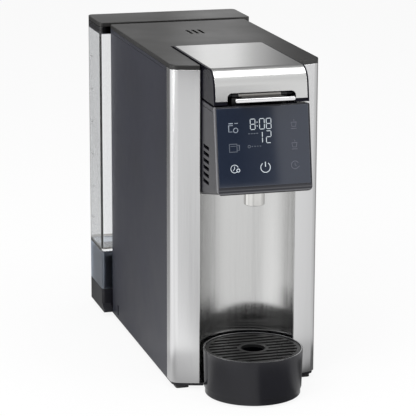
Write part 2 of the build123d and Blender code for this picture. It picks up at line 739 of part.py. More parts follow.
def tray_cup():
    """Round tray that hooks over the tongue, open at the rear of its lower skirt."""
    step_z = TRAY_BOTTOM_Z + TRAY_RING_HEIGHT
    lower_radius = TRAY_RADIUS - TRAY_TAPER
    wall = Pos(0, TRAY_Y, (step_z + TRAY_TOP_Z) / 2) * Cone(lower_radius, TRAY_RADIUS, TRAY_TOP_Z - step_z)
    ring_radius = lower_radius - TRAY_RING_INSET
    cup = wall + disc(0, TRAY_Y, TRAY_BOTTOM_Z, step_z, ring_radius)
    rebate_radius = TRAY_RADIUS - TRAY_RIM_WALL
    ledge_z = TRAY_TOP_Z - GRILLE_RECESS - GRILLE_THICKNESS - SEAM
    cup -= disc(0, TRAY_Y, ledge_z, FAR, rebate_radius)
    cup -= disc(0, TRAY_Y, TRAY_FLOOR_Z + TRAY_FLOOR, FAR, rebate_radius - TRAY_LEDGE)
    cup -= disc(0, TRAY_Y, 0, TRAY_FLOOR_Z, ring_radius - TRAY_SKIRT_WALL)
    cup -= wide_block(TONGUE_HALF + SLIDE_GAP, TRAY_Y, FAR, 0, TRAY_FLOOR_Z)
    return cup


def drip_grille():
    """Slotted disc with a centre drain hole."""
    top_z = TRAY_TOP_Z - GRILLE_RECESS
    radius = TRAY_RADIUS - TRAY_RIM_WALL - SEAM
    grille = disc(0, TRAY_Y, top_z - GRILLE_THICKNESS, top_z, radius)
    pad_radius = GRILLE_HOLE_RADIUS + GRILLE_PAD
    field = Circle(radius - GRILLE_RIM) - Circle(pad_radius)
    first = -(GRILLE_SLOT_COUNT - 1) / 2
    bars = [Pos(0, (first + k) * GRILLE_SLOT_PITCH) * Rectangle(2 * radius, GRILLE_SLOT_WIDTH)
            for k in range(GRILLE_SLOT_COUNT)]
    for bar in bars:
        slots = Pos(0, TRAY_Y) * (field & bar)
        grille -= raise_face(slots, 0, FAR)
    return grille - disc(0, TRAY_Y, 0, FAR, GRILLE_HOLE_RADIUS)


# Brew head


def head_bezel():
    """Leaning frame that holds the display glass."""
    bezel = lean_slab(0, BEZEL_DEPTH, HEAD_BOTTOM_Z, FACE_TOP_Z, HEAD_HALF)
    lip = [e for e in bezel.edges().filter_by(Axis.X) if e.center().Z < HEAD_BOTTOM_Z + TOUCH]
    lip = [e for e in lip if e.center().Y < face_y(HEAD_BOTTOM_Z) + TOUCH]
    bezel = fillet(lip, BEZEL_LIP_ROUND)
    bezel &= front_prism(head_front_view(), -FAR, FAR)
    recess_bottom = HEAD_BOTTOM_Z + BEZEL_LIP_HEIGHT
    bezel -= lean_slab(-OVERLAP, GLASS_THICKNESS + SKIN_GAP, recess_bottom, FACE_TOP_Z - BEZEL_TOP_RIM,
                       HEAD_HALF - BEZEL_SIDE_RIM)
    return bezel - lean_slab(-OVERLAP, BEZEL_DEPTH + OVERLAP, DISPLAY_WINDOW_BOTTOM_Z, DISPLAY_WINDOW_TOP_Z,
                             DISPLAY_WINDOW_HALF)


def display_glass():
    """Dark touch glass, flush in the bezel."""
    bottom = HEAD_BOTTOM_Z + BEZEL_LIP_HEIGHT + SEAM
    top = FACE_TOP_Z - BEZEL_TOP_RIM - SEAM
    return lean_slab(0, GLASS_THICKNESS, bottom, top, HEAD_HALF - BEZEL_SIDE_RIM - SEAM)


def display_board():
    """Circuit board behind the bezel."""
    depth = BEZEL_DEPTH + SEAM
    bottom = DISPLAY_WINDOW_BOTTOM_Z - DISPLAY_BOARD_MARGIN
    top = DISPLAY_WINDOW_TOP_Z + DISPLAY_BOARD_MARGIN
    return lean_slab(depth, depth + BOARD_THICKNESS, bottom, top, DISPLAY_WINDOW_HALF + DISPLAY_BOARD_MARGIN)


def head_skirt():
    """Walls under the head's floor on both sides, whose lower edge falls towards the rear."""
    depth = BEZEL_DEPTH + SEAM
    front = face_y(HEAD_BOTTOM_Z, depth)
    upright = Pos(0, -front, -HEAD_BOTTOM_Z) * front_prism(head_front_view(), -FAR, FAR)
    leaned = Pos(0, front, HEAD_BOTTOM_Z) * Rot(-HEAD_SKIRT_LEAN, 0, 0) * upright
    top = HEAD_BOTTOM_Z + HEAD_LOWER_ROUND
    rear = TRAY_Y + NICHE_RADIUS
    side_view = [(face_y(0, depth), 0), (face_y(top, depth), top), (rear, top), (rear, 0)]
    walls = leaned & side_prism(side_view, HEAD_HALF)
    return walls - wide_block(HEAD_HALF - HEAD_WALL, -FAR, FAR, 0, FAR)


def head_housing():
    """Box of the head, the deck above the brew chamber and the bay that the lid sinks into."""
    front = BEZEL_DEPTH + SEAM
    side_view = [(face_y(HEAD_BOTTOM_Z, front), HEAD_BOTTOM_Z), (face_y(DECK_TOP_Z, front), DECK_TOP_Z),
                 (HEAD_BACK_Y, DECK_TOP_Z), (HEAD_BACK_Y, HEAD_BOTTOM_Z)]
    box = side_prism(side_view, HEAD_HALF)
    box &= front_prism(head_front_view(), -FAR, FAR)
    box += head_skirt()
    niche_zone = disc(0, TRAY_Y, 0, NICHE_TOP_Z + SEAM, NICHE_RADIUS - SLIDE_GAP)
    box -= wide_block(FAR, TRAY_Y, FAR, 0, NICHE_TOP_Z + SEAM) - niche_zone
    inner_top = DECK_TOP_Z - DECK_THICKNESS
    box -= wide_block(HEAD_HALF - HEAD_WALL, -FAR, TRAY_Y, HEAD_BOTTOM_Z + HEAD_WALL, inner_top)
    rear_room = disc(0, TRAY_Y, HEAD_BOTTOM_Z + HEAD_WALL, inner_top, NICHE_RADIUS - SLIDE_GAP - HEAD_WALL)
    rear_floor = NICHE_TOP_Z + SEAM + HEAD_WALL
    rear_room += wide_block(HEAD_HALF, TRAY_Y, HEAD_BACK_Y - HEAD_WALL, rear_floor, inner_top)
    box -= rear_room & wide_block(HEAD_HALF - HEAD_WALL, TRAY_Y - OVERLAP, HEAD_BACK_Y - HEAD_WALL, 0, FAR)
    bay_half = LID_HALF + LID_SIDE_GAP + BAY_WALL
    bay = wide_block(bay_half, BAY_FRONT_Y, BAY_REAR_Y + BAY_WALL, BAY_BOTTOM_Z, BAY_TOP_Z)
    well = wide_block(LID_HALF + LID_SIDE_GAP, -FAR, BAY_REAR_Y, DECK_TOP_Z, FAR)
    under = wide_block(LID_HALF + LID_SIDE_GAP, HEAD_BACK_Y, BAY_REAR_Y, 0, inner_top)
    under += wide_block(HEAD_HALF - HEAD_WALL, 0, HEAD_BACK_Y + OVERLAP, 0, inner_top)
    room = box + (bay - well - under)
    room -= disc(0, POD_Y, inner_top - OVERLAP, FAR, POD_FLANGE_RADIUS + SLIDE_GAP)
    room -= disc(0, TRAY_Y, 0, HEAD_BOTTOM_Z + HEAD_WALL + OVERLAP, NOZZLE_RADIUS + SEAM)
    room -= rod_x(-FAR, FAR, HINGE_Y, HINGE_Z, HINGE_PIN_RADIUS + RUN_CLEARANCE)
    window_front = LATCH_Y - HOOK_THICKNESS / 2 - HOOK_SWING
    window_rear = LATCH_Y + HOOK_THICKNESS / 2 + HOOK_NOSE + SEAM
    window_half = HOOK_HALF + HOOK_WINDOW_MARGIN
    room -= mirrored(block(HOOK_X - window_half, HOOK_X + window_half, window_front, window_rear,
                           inner_top - OVERLAP, FAR))
    for index in range(VENT_COUNT):
        z0 = VENT_LOWEST_Z + index * VENT_PITCH - VENT_HEIGHT / 2
        room -= wide_block(FAR, VENT_FRONT_Y, VENT_FRONT_Y + VENT_LENGTH, z0, z0 + VENT_HEIGHT)
    groove = wide_block(FAR, -FAR, BAY_FRONT_Y - SEAM, SEAM_GROOVE_Z, SEAM_GROOVE_Z + SEAM_GROOVE_HEIGHT)
    room -= groove - wide_block(HEAD_HALF - SEAM_GROOVE_DEPTH, -FAR, FAR, 0, FAR)
    cable_end = HEAD_BACK_Y - 2 * HEAD_WALL
    return room - rod_y(CABLE_X, cable_end, HEAD_BACK_Y + OVERLAP, CABLE_TOP_Z, CABLE_RADIUS + SEAM)


def chamber_levels():
    """Floor and rim heights of the brew chamber."""
    rim = DECK_TOP_Z - DECK_THICKNESS - SEAM
    floor = POD_SEAT_Z + POD_FLANGE_THICKNESS - POD_DEPTH - POD_WALL - SEAM - CHAMBER_FLOOR
    return floor, rim


def brew_chamber():
    """Cup that hangs under the deck and holds the pod holder."""
    floor, rim = chamber_levels()
    bore = POD_INNER_RADIUS + POD_WALL + CHAMBER_BORE_GAP
    seat = POD_SEAT_Z - SEAM
    cup = disc(0, POD_Y, floor, rim, CHAMBER_RADIUS)
    cup += disc(0, POD_Y, seat, rim, CHAMBER_FLANGE_RADIUS)
    cup -= disc(0, POD_Y, floor + CHAMBER_FLOOR, FAR, bore)
    cup -= disc(0, POD_Y, seat, FAR, POD_FLANGE_RADIUS + SLIDE_GAP)
    return cup - disc(0, POD_Y, 0, FAR, CHAMBER_OUTLET_RADIUS)


def pod_holder():
    """Cup for the coffee pod, with a rim rebate and a drain hole."""
    top = POD_SEAT_Z + POD_FLANGE_THICKNESS
    bottom = top - POD_DEPTH - POD_WALL
    cup = disc(0, POD_Y, bottom, top, POD_INNER_RADIUS + POD_WALL)
    cup += disc(0, POD_Y, POD_SEAT_Z, top, POD_FLANGE_RADIUS)
    cup -= disc(0, POD_Y, bottom + POD_WALL, FAR, POD_INNER_RADIUS)
    cup -= disc(0, POD_Y, top - POD_RIM_STEP, FAR, POD_RIM_RADIUS)
    return cup - disc(0, POD_Y, 0, FAR, POD_OUTLET_RADIUS)


def lower_needle():
    """Hollow spike on the pod holder's floor."""
    y = POD_Y + LOWER_NEEDLE_OFFSET
    floor_z = POD_SEAT_Z + POD_FLANGE_THICKNESS - POD_DEPTH + RUN_CLEARANCE
    foot_top = floor_z + NEEDLE_FOOT_HEIGHT
    foot = disc(0, y, floor_z, foot_top, LOWER_NEEDLE_RADIUS + NEEDLE_FOOT_LIP)
    height = LOWER_NEEDLE_HEIGHT - NEEDLE_FOOT_HEIGHT
    tip_radius = NEEDLE_BORE_RADIUS + NEEDLE_TIP_WALL
    spike = Pos(0, y, foot_top + height / 2) * Cone(LOWER_NEEDLE_RADIUS, tip_radius, height)
    return foot + spike - disc(0, y, 0, FAR, NEEDLE_BORE_RADIUS)


def funnel():
    """Slanted funnel from the brew chamber to the nozzle."""
    chamber_floor, _ = chamber_levels()
    top = chamber_floor - SEAM
    spigot_top = HEAD_BOTTOM_Z + HEAD_WALL + SEAM + NOZZLE_FLANGE_THICKNESS + SEAM
    spigot = NOZZLE_BORE_RADIUS - SEAM
    rim_z = top - FUNNEL_WALL

    def cone(grow, z_low, z_high):
        wide = Pos(0, POD_Y, z_high) * Circle(FUNNEL_TOP_RADIUS + grow)
        narrow = Pos(0, TRAY_Y, z_low) * Circle(spigot + grow)
        return loft([narrow, wide])

    shell = cone(0, spigot_top, rim_z) + disc(0, POD_Y, rim_z, top, FUNNEL_TOP_RADIUS)
    shell += disc(0, TRAY_Y, spigot_top - FUNNEL_SPIGOT_LENGTH, spigot_top, spigot)
    core = cone(-FUNNEL_WALL, spigot_top, rim_z)
    core += disc(0, POD_Y, rim_z, top + OVERLAP, FUNNEL_TOP_RADIUS - FUNNEL_WALL)
    core += disc(0, TRAY_Y, 0, spigot_top, spigot - FUNNEL_WALL)
    return shell - core


def nozzle():
    """Chrome outlet with a flange that sits on the head's floor."""
    flange_z = HEAD_BOTTOM_Z + HEAD_WALL + SEAM
    body = disc(0, TRAY_Y, NOZZLE_BOTTOM_Z, flange_z + NOZZLE_FLANGE_THICKNESS, NOZZLE_RADIUS)
    lower_edge = body.edges().sort_by(Axis.Z)[0]
    body = fillet(lower_edge, NOZZLE_EDGE)
    body += disc(0, TRAY_Y, flange_z, flange_z + NOZZLE_FLANGE_THICKNESS, NOZZLE_FLANGE_RADIUS)
    return body - disc(0, TRAY_Y, 0, FAR, NOZZLE_BORE_RADIUS)


def hinge_pin():
    """Steel pin across the bay that the lid turns on."""
    reach = LID_HALF + LID_SIDE_GAP + BAY_WALL - SEAM
    return rod_x(-reach, reach, HINGE_Y, HINGE_Z, HINGE_PIN_RADIUS)


# Lid and latch


def lid_body():
    """Black lid moulding with the handle pocket, hinge knuckles and a recess for the steel."""
    recess = STEEL + SKIN_GAP
    body = lid_prism(LID_RIM_STEP, LID_BOTTOM_Z, LID_HALF)
    body &= lid_plan(LID_HALF, LID_REAR_Y - LID_RIM_STEP, LID_CORNER_ROUND)
    skin_bed = lid_plan(LID_SKIN_HALF + SKIN_GAP, LID_SKIN_REAR_Y + SKIN_GAP, LID_CORNER_ROUND)
    body -= skin_bed - lid_prism(recess, LID_BOTTOM_Z - OVERLAP, LID_HALF)
    inner_half = LID_HALF - LID_WALL
    body -= lid_prism(recess + LID_WALL, LID_BOTTOM_Z - OVERLAP, inner_half)
    pocket_walls = pocket_prism(-FAR, POCKET_BACK_Y + POCKET_WALL, POCKET_WALL)
    body += pocket_walls & lid_prism(recess, LID_BOTTOM_Z, inner_half + OVERLAP)
    body -= pocket_prism(-FAR, POCKET_BACK_Y)
    for side in (-1, 1):
        x0, x1 = sorted((side * (inner_half - HINGE_KNUCKLE_LENGTH), side * (inner_half + OVERLAP)))
        knuckle = rod_x(x0, x1, HINGE_Y, HINGE_Z, HINGE_KNUCKLE_RADIUS)
        body += knuckle & lid_prism(recess, LID_BOTTOM_Z, LID_HALF)
    body -= rod_x(-FAR, FAR, HINGE_Y, HINGE_Z, HINGE_PIN_RADIUS + RUN_CLEARANCE)
    pin_reach = POCKET_HALF + POCKET_WALL - SEAM
    return body - rod_x(-pin_reach, pin_reach, LATCH_Y, LATCH_Z, LATCH_PIN_RADIUS + RUN_CLEARANCE)


def lid_skin():
    """Brushed steel sheet over the lid's top and front, notched for the handle."""
    sheet = lid_prism(0, LID_SKIN_BOTTOM_Z, LID_SKIN_HALF)
    sheet -= lid_prism(STEEL, LID_SKIN_BOTTOM_Z - OVERLAP, LID_HALF)
    sheet &= lid_plan(LID_SKIN_HALF, LID_SKIN_REAR_Y, LID_CORNER_ROUND)
    return sheet - pocket_prism(-FAR, 0)


def liner_span():
    """Y limits of the plate that closes the lid from below."""
    return POCKET_BACK_Y + POCKET_WALL + SEAM, LID_REAR_Y - STEEL - SKIN_GAP - LID_WALL - SEAM


def lid_liner():
    """Plate under the lid that carries the upper needle."""
    y0, y1 = liner_span()
    z0 = LID_BOTTOM_Z + RUN_CLEARANCE
    plate = wide_block(LID_HALF - LID_WALL - SEAM, y0, y1, z0, z0 + LINER_THICKNESS)
    return plate - disc(0, POD_Y, 0, FAR, UPPER_NEEDLE_RADIUS + RUN_CLEARANCE)


def upper_needle():
    """Hollow needle that pierces the pod lid."""
    liner_top = LID_BOTTOM_Z + RUN_CLEARANCE + LINER_THICKNESS
    tip_z = LID_BOTTOM_Z - UPPER_NEEDLE_REACH
    shank = disc(0, POD_Y, tip_z + NEEDLE_TIP, liner_top + RUN_CLEARANCE, UPPER_NEEDLE_RADIUS)
    tip_radius = NEEDLE_BORE_RADIUS + NEEDLE_TIP_WALL
    tip = Pos(0, POD_Y, tip_z + NEEDLE_TIP / 2) * Cone(tip_radius, UPPER_NEEDLE_RADIUS, NEEDLE_TIP)
    flange = disc(0, POD_Y, liner_top + RUN_CLEARANCE, liner_top + RUN_CLEARANCE + NEEDLE_FLANGE_THICKNESS,
                  NEEDLE_FLANGE_RADIUS)
    return shank + tip + flange - disc(0, POD_Y, 0, FAR, NEEDLE_BORE_RADIUS)


def needle_seal():
    """Silicone ring that presses on the pod round the needle."""
    bore = UPPER_NEEDLE_RADIUS + RUN_CLEARANCE
    return tube(0, POD_Y, LID_BOTTOM_Z - NEEDLE_SEAL_THICKNESS, LID_BOTTOM_Z, NEEDLE_SEAL_RADIUS, bore)


def lid_water_tube():
    """Tube in the lid from the hinge to the needle."""
    liner_top = LID_BOTTOM_Z + RUN_CLEARANCE + LINER_THICKNESS
    z = liner_top + RUN_CLEARANCE + NEEDLE_FLANGE_THICKNESS + SEAM + LID_TUBE_RADIUS
    outer = rod_y(0, POD_Y - LID_TUBE_RADIUS, LID_TUBE_REAR_Y, z, LID_TUBE_RADIUS)
    return outer - rod_y(0, POD_Y, LID_TUBE_REAR_Y + OVERLAP, z, LID_TUBE_RADIUS / 2)


def latch_pin():
    """Pin that the handle turns on, held in the pocket's side walls."""
    reach = POCKET_HALF + POCKET_WALL - 2 * SEAM
    return rod_x(-reach, reach, LATCH_Y, LATCH_Z, LATCH_PIN_RADIUS)


def barrel_half():
    """Half length of the handle's barrel, which reaches just past the hooks."""
    return HOOK_X + HOOK_HALF


def latch_handle():
    """Chrome pull bar on a neck, with two hooks that reach down through the deck."""
    bar_rear = HANDLE_BAR_FRONT_Y + HANDLE_BAR_DEPTH
    bar_top = HANDLE_BAR_BOTTOM_Z + HANDLE_BAR_HEIGHT
    bar = wide_block(HANDLE_BAR_HALF, HANDLE_BAR_FRONT_Y, bar_rear, HANDLE_BAR_BOTTOM_Z, bar_top)
    bar = fillet(bar.edges().filter_by(Axis.Y), HANDLE_BAR_HEIGHT * HANDLE_END_SHARE)
    front_edges = [e for e in bar.edges() if e.center().Y < HANDLE_BAR_FRONT_Y + TOUCH]
    bar = fillet(front_edges, HANDLE_BAR_HEIGHT * HANDLE_EDGE_SHARE)
    neck_top = HANDLE_NECK_BOTTOM_Z + HANDLE_NECK_THICKNESS
    neck = wide_block(HANDLE_NECK_HALF, bar_rear - OVERLAP, LATCH_Y, HANDLE_NECK_BOTTOM_Z, neck_top)
    barrel = rod_x(-barrel_half(), barrel_half(), LATCH_Y, LATCH_Z, LATCH_BARREL_RADIUS)
    stem_y = LATCH_Y - HOOK_THICKNESS / 2
    hook_z = LATCH_Z - HOOK_DROP
    x0 = HOOK_X - HOOK_HALF
    x1 = HOOK_X + HOOK_HALF
    stem = block(x0, x1, stem_y, stem_y + HOOK_THICKNESS, hook_z, LATCH_Z)
    nose = block(x0, x1, stem_y, stem_y + HOOK_THICKNESS + HOOK_NOSE, hook_z, hook_z + HOOK_NOSE_HEIGHT)
    hook = stem + nose
    handle = bar + neck + barrel + hook + mirror(hook, about=Plane.YZ)
    return handle - rod_x(-FAR, FAR, LATCH_Y, LATCH_Z, LATCH_PIN_RADIUS + RUN_CLEARANCE)


def latch_spring():
    """Torsion coil on the latch pin, beside the barrel."""
    radius = LATCH_PIN_RADIUS + LATCH_SPRING_WIRE + SEAM
    turns = coil(radius, LATCH_SPRING_WIRE, LATCH_SPRING_PITCH, LATCH_SPRING_TURNS)
    start = barrel_half() + SEAM + LATCH_SPRING_WIRE
    return Pos(start, LATCH_Y, LATCH_Z) * Rot(0, 90, 0) * turns


# Tank, its lid, valve and dock


def tank_shell():
    """Clear tank with a skirt below its floor that sits over the pedestal's riser."""
    shell = raise_face(tank_outline(), TANK_BOTTOM_Z, TANK_RIM_Z)
    shell -= raise_face(tank_outline(TANK_WALL), TANK_FLOOR_Z, FAR)
    shell -= raise_face(tank_outline(TANK_WALL), 0, TANK_FLOOR_Z - TANK_WALL)
    return shell - disc(0, valve_y(), 0, FAR, VALVE_RADIUS + RUN_CLEARANCE)


def valve_y():
    """The valve stands on the tank's centre line, midway between its walls."""
    return (TANK_FRONT_Y + TANK_REAR_Y) / 2


def tank_lid():
    """Textured lid plate with a shallow edge."""
    plate = raise_face(tank_outline(), TANK_LID_TOP_Z - TANK_LID_EDGE, TANK_LID_TOP_Z)
    top_edges = [e for e in plate.edges() if e.center().Z > TANK_LID_TOP_Z - TOUCH]
    plate = chamfer(top_edges, COVER_CHAMFER)
    return plate - raise_face(tank_outline(TANK_WALL), 0, TANK_LID_TOP_Z - TANK_LID_PLATE)


def tank_lid_skirt():
    """Black plug under the lid that fits inside the tank's rim."""
    inset = TANK_WALL + SLIDE_GAP
    z0 = TANK_LID_TOP_Z - TANK_LID_EDGE - TANK_LID_SKIRT_DEPTH
    z1 = TANK_LID_TOP_Z - TANK_LID_PLATE - RUN_CLEARANCE
    skirt = raise_face(tank_outline(inset), z0, z1)
    skirt -= raise_face(tank_outline(inset + TANK_LID_SKIRT_WALL), 0, z1 - TANK_LID_PLATE)
    groove_z = (z0 + TANK_RIM_Z) / 2
    groove = tank_outline(inset - OVERLAP) - tank_outline(inset + TANK_SEAL_RADIUS)
    return skirt - raise_face(groove, groove_z - TANK_SEAL_RADIUS, groove_z + TANK_SEAL_RADIUS)


def tank_lid_seal():
    """Thin ring in the skirt's groove."""
    inset = TANK_WALL + SLIDE_GAP
    z0 = TANK_LID_TOP_Z - TANK_LID_EDGE - TANK_LID_SKIRT_DEPTH
    groove_z = (z0 + TANK_RIM_Z) / 2
    half = TANK_SEAL_RADIUS - RUN_CLEARANCE
    ring = tank_outline(TANK_WALL + SEAM) - tank_outline(inset + TANK_SEAL_RADIUS - RUN_CLEARANCE)
    return raise_face(ring, groove_z - half, groove_z + half)


def tank_pedestal():
    """Black base under the tank, with a riser inside the tank's skirt."""
    wall = PEDESTAL_WALL
    base = raise_face(tank_outline(), PEDESTAL_BOTTOM_Z, PEDESTAL_SHOULDER_Z) + pedestal_toes()
    riser_inset = TANK_WALL + RISER_GAP
    base += raise_face(tank_outline(riser_inset), PEDESTAL_SHOULDER_Z - OVERLAP, RISER_TOP_Z)
    base -= raise_face(tank_outline(wall), 0, PEDESTAL_SHOULDER_Z - wall)
    base -= raise_face(tank_outline(riser_inset + wall), 0, RISER_TOP_Z - wall)
    base -= disc(0, valve_y(), 0, FAR, dock_radius() + RUN_CLEARANCE)
    front = TANK_FRONT_Y + wall / 2 - SLIDE_GAP
    rear = TANK_FRONT_Y + TANK_FRONT_ROUND + SEAM
    base -= wide_block(neck_half() + SLIDE_GAP, 0, rear, 0, PLATE_TOP_Z + SEAM)
    base -= wide_block(TANK_HALF - wall, front, rear, 0, PLATE_TOP_Z + SEAM)
    return base - rod_y(0, 0, TANK_FRONT_Y + 2 * wall, HOSE_Z, HOSE_RADIUS + HOSE_HOLE_GAP)


def pedestal_toes():
    """Wedges at the pedestal's foot that reach forward to the body, one each side of the neck."""
    front = TANK_FRONT_Y - PEDESTAL_TOE_REACH
    rear = TANK_FRONT_Y + TANK_FRONT_ROUND
    base = PEDESTAL_BOTTOM_Z
    top = base + PEDESTAL_TOE_HEIGHT
    lip = (front, base + PEDESTAL_TOE_LIP)
    side = Polygon((front, base), lip, (TANK_FRONT_Y, top), (rear, top), (rear, base), align=None)
    wedge = extrude(Plane.YZ * side, amount=TANK_HALF, both=True)
    return wedge - wide_block(neck_half() + SLIDE_GAP, 0, FAR, 0, FAR)


def dock_radius():
    """Outer radius of the dock's socket."""
    return VALVE_RADIUS + DOCK_GAP + DOCK_WALL


def dock_port():
    """Socket in the riser that receives the tank's valve, with the pin that opens it."""
    y = valve_y()
    radius = dock_radius()
    top = RISER_TOP_Z + RUN_CLEARANCE
    port = disc(0, y, DOCK_BOTTOM_Z, top + DOCK_FLANGE_THICKNESS, radius)
    port += disc(0, y, top, top + DOCK_FLANGE_THICKNESS, radius + DOCK_FLANGE)
    port -= disc(0, y, DOCK_BOTTOM_Z + DOCK_FLOOR, FAR, radius - DOCK_WALL)
    port += disc(0, y, DOCK_BOTTOM_Z + DOCK_FLOOR - OVERLAP, stem_bottom() - SEAM, DOCK_PIN_RADIUS)
    return port - disc(0, dock_outlet_y(), 0, DOCK_BOTTOM_Z + DOCK_FLOOR + OVERLAP, DOCK_OUTLET_RADIUS)


def dock_outlet_y():
    """Place of the dock's outlet, in front of its pin."""
    return valve_y() - VALVE_BORE_RADIUS


def poppet_bottom():
    """Height of the closed poppet's head above the worktop."""
    return VALVE_BOTTOM_Z + VALVE_SEAT + SEAM


def stem_bottom():
    """Height of the poppet stem's lower end, which hangs below the valve body."""
    return poppet_bottom() - VALVE_SEAT - POPPET_STEM_DROP


def dock_seal():
    """Ring between the valve and the socket."""
    outer = dock_radius() - DOCK_WALL - RUN_CLEARANCE
    return tube(0, valve_y(), DOCK_SEAL_Z, DOCK_SEAL_Z + DOCK_SEAL_HEIGHT, outer, VALVE_RADIUS + SEAM)


def valve_body():
    """Valve tube in the tank's floor, with a seat below and a bridge above."""
    y = valve_y()
    flange_z = TANK_FLOOR_Z + RUN_CLEARANCE
    top = flange_z + VALVE_FLANGE_THICKNESS
    body = disc(0, y, VALVE_BOTTOM_Z, top, VALVE_RADIUS) + disc(0, y, flange_z, top, VALVE_FLANGE_RADIUS)
    body -= disc(0, y, VALVE_BOTTOM_Z + VALVE_SEAT, FAR, VALVE_BORE_RADIUS)
    body -= disc(0, y, 0, FAR, VALVE_SEAT_RADIUS)
    bridge = wide_block(VALVE_BORE_RADIUS + OVERLAP, y - VALVE_BRIDGE_HALF, y + VALVE_BRIDGE_HALF,
                        VALVE_BRIDGE_Z, top)
    return body + bridge


def valve_poppet():
    """Poppet that closes the tank and is pushed up by the dock's pin."""
    y = valve_y()
    z = poppet_bottom()
    head = disc(0, y, z, z + POPPET_THICKNESS, POPPET_RADIUS)
    stem = disc(0, y, stem_bottom(), z, POPPET_STEM_RADIUS)
    guide = disc(0, y, z, z + POPPET_THICKNESS + POPPET_GUIDE_HEIGHT, POPPET_GUIDE_RADIUS)
    return head + stem + guide


def valve_spring():
    """Coil between the poppet and the bridge."""
    z = poppet_bottom() + POPPET_THICKNESS + SEAM + VALVE_SPRING_WIRE
    length = VALVE_BRIDGE_Z - SEAM - VALVE_SPRING_WIRE - z
    turns = coil(VALVE_SPRING_RADIUS, VALVE_SPRING_WIRE, length / VALVE_SPRING_TURNS, VALVE_SPRING_TURNS)
    return Pos(0, valve_y(), z) * turns


def tank_filter():
    """Slotted cup over the valve, inside the tank."""
    y = valve_y()
    z = TANK_FLOOR_Z + RUN_CLEARANCE + VALVE_FLANGE_THICKNESS + RUN_CLEARANCE
    cup = disc(0, y, z, z + FILTER_HEIGHT, FILTER_RADIUS)
    cup -= disc(0, y, 0, z + FILTER_HEIGHT - FILTER_WALL, FILTER_RADIUS - FILTER_WALL)
    slot = block(0, FAR, -FILTER_SLOT_WIDTH / 2, FILTER_SLOT_WIDTH / 2, z + FILTER_BAND,
                 z + FILTER_HEIGHT - FILTER_BAND)
    for index in range(FILTER_SLOT_COUNT):
        cup -= Pos(0, y, 0) * Rot(0, 0, (index + 0.5) * 360 / FILTER_SLOT_COUNT) * slot
    return cup


# Water path, heater and electrics


def flow_meter():
    """Round meter on the base, between the tank and the pump."""
    base_z = PANEL_BOTTOM_Z
    meter = disc(0, METER_Y, base_z, base_z + METER_HEIGHT, METER_RADIUS)
    return fillet(meter.edges().sort_by(Axis.Z)[-1], METER_EDGE)


def pump_height():
    """Height of the pump's axis."""
    return PANEL_BOTTOM_Z + PUMP_MOUNT_HEIGHT + SEAM + PUMP_RADIUS


def pump_mount():
    """Rubber block under the pump."""
    z = PANEL_BOTTOM_Z
    x0 = PUMP_X - PUMP_MOUNT_HALF
    x1 = PUMP_X + PUMP_MOUNT_HALF
    y0 = PUMP_FRONT_Y + PUMP_MOUNT_INSET
    y1 = PUMP_FRONT_Y + PUMP_LENGTH - PUMP_MOUNT_INSET
    cradle = block(x0, x1, y0, y1, z, z + PUMP_MOUNT_HEIGHT + PUMP_CRADLE_LIFT)
    return cradle - rod_y(PUMP_X, 0, FAR, pump_height(), PUMP_RADIUS + SEAM)


def water_pump():
    """Pump body with its outlet fitting on top."""
    z = pump_height()
    rear = PUMP_FRONT_Y + PUMP_LENGTH
    body = rod_y(PUMP_X, PUMP_FRONT_Y, rear, z, PUMP_RADIUS)
    fitting_top = z + PUMP_RADIUS + HOSE_RADIUS
    return body + disc(PUMP_X, pump_outlet_y(), z, fitting_top, HOSE_RADIUS)


def pump_outlet_y():
    """Place of the pump's outlet along its length."""
    return PUMP_FRONT_Y + PUMP_LENGTH / 2


def pump_motor():
    """Motor in front of the pump."""
    front = PUMP_FRONT_Y - SEAM - MOTOR_LENGTH
    z = pump_height()
    motor = rod_y(PUMP_X, front, PUMP_FRONT_Y - SEAM, z, MOTOR_RADIUS)
    return motor + rod_y(PUMP_X, front - MOTOR_NOSE_LENGTH, front + OVERLAP, z, MOTOR_NOSE_RADIUS)


def air_pump():
    """Small air pump that clears the last water from the line."""
    x0 = PUMP_X - AIR_PUMP_WIDTH / 2
    y0 = AIR_PUMP_Y - AIR_PUMP_LENGTH / 2
    top = PANEL_BOTTOM_Z + AIR_PUMP_HEIGHT
    case = block(x0, x0 + AIR_PUMP_WIDTH, y0, y0 + AIR_PUMP_LENGTH, PANEL_BOTTOM_Z, top)
    case = fillet(case.edges().filter_by(Axis.Z), AIR_PUMP_ROUND)
    return case + disc(PUMP_X, AIR_PUMP_Y, top - OVERLAP, top + AIR_PUMP_PORT_HEIGHT, AIR_PUMP_PORT_RADIUS)


def heater_bottom():
    """Height of the heater's lower end."""
    return PANEL_BOTTOM_Z + BRACKET_THICKNESS + SEAM


def heater():
    """Upright flow heater with fittings at its side and top."""
    z0 = heater_bottom()
    z1 = z0 + HEATER_HEIGHT
    body = disc(HEATER_X, HEATER_Y, z0, z1, HEATER_RADIUS)
    body = fillet(body.edges().sort_by(Axis.Z)[-1], HEATER_DOME)
    body += disc(HEATER_X, HEATER_Y, z1 - OVERLAP, z1 + HEATER_TOP_FITTING, HEATER_FITTING_RADIUS)
    return body + rod_x(side_fitting_x(), HEATER_X, HEATER_Y, HEATER_HOSE_Z, HEATER_FITTING_RADIUS)


def side_fitting_x():
    """Outer end of the heater's side fitting."""
    return HEATER_X - HEATER_RADIUS - HEATER_SIDE_FITTING


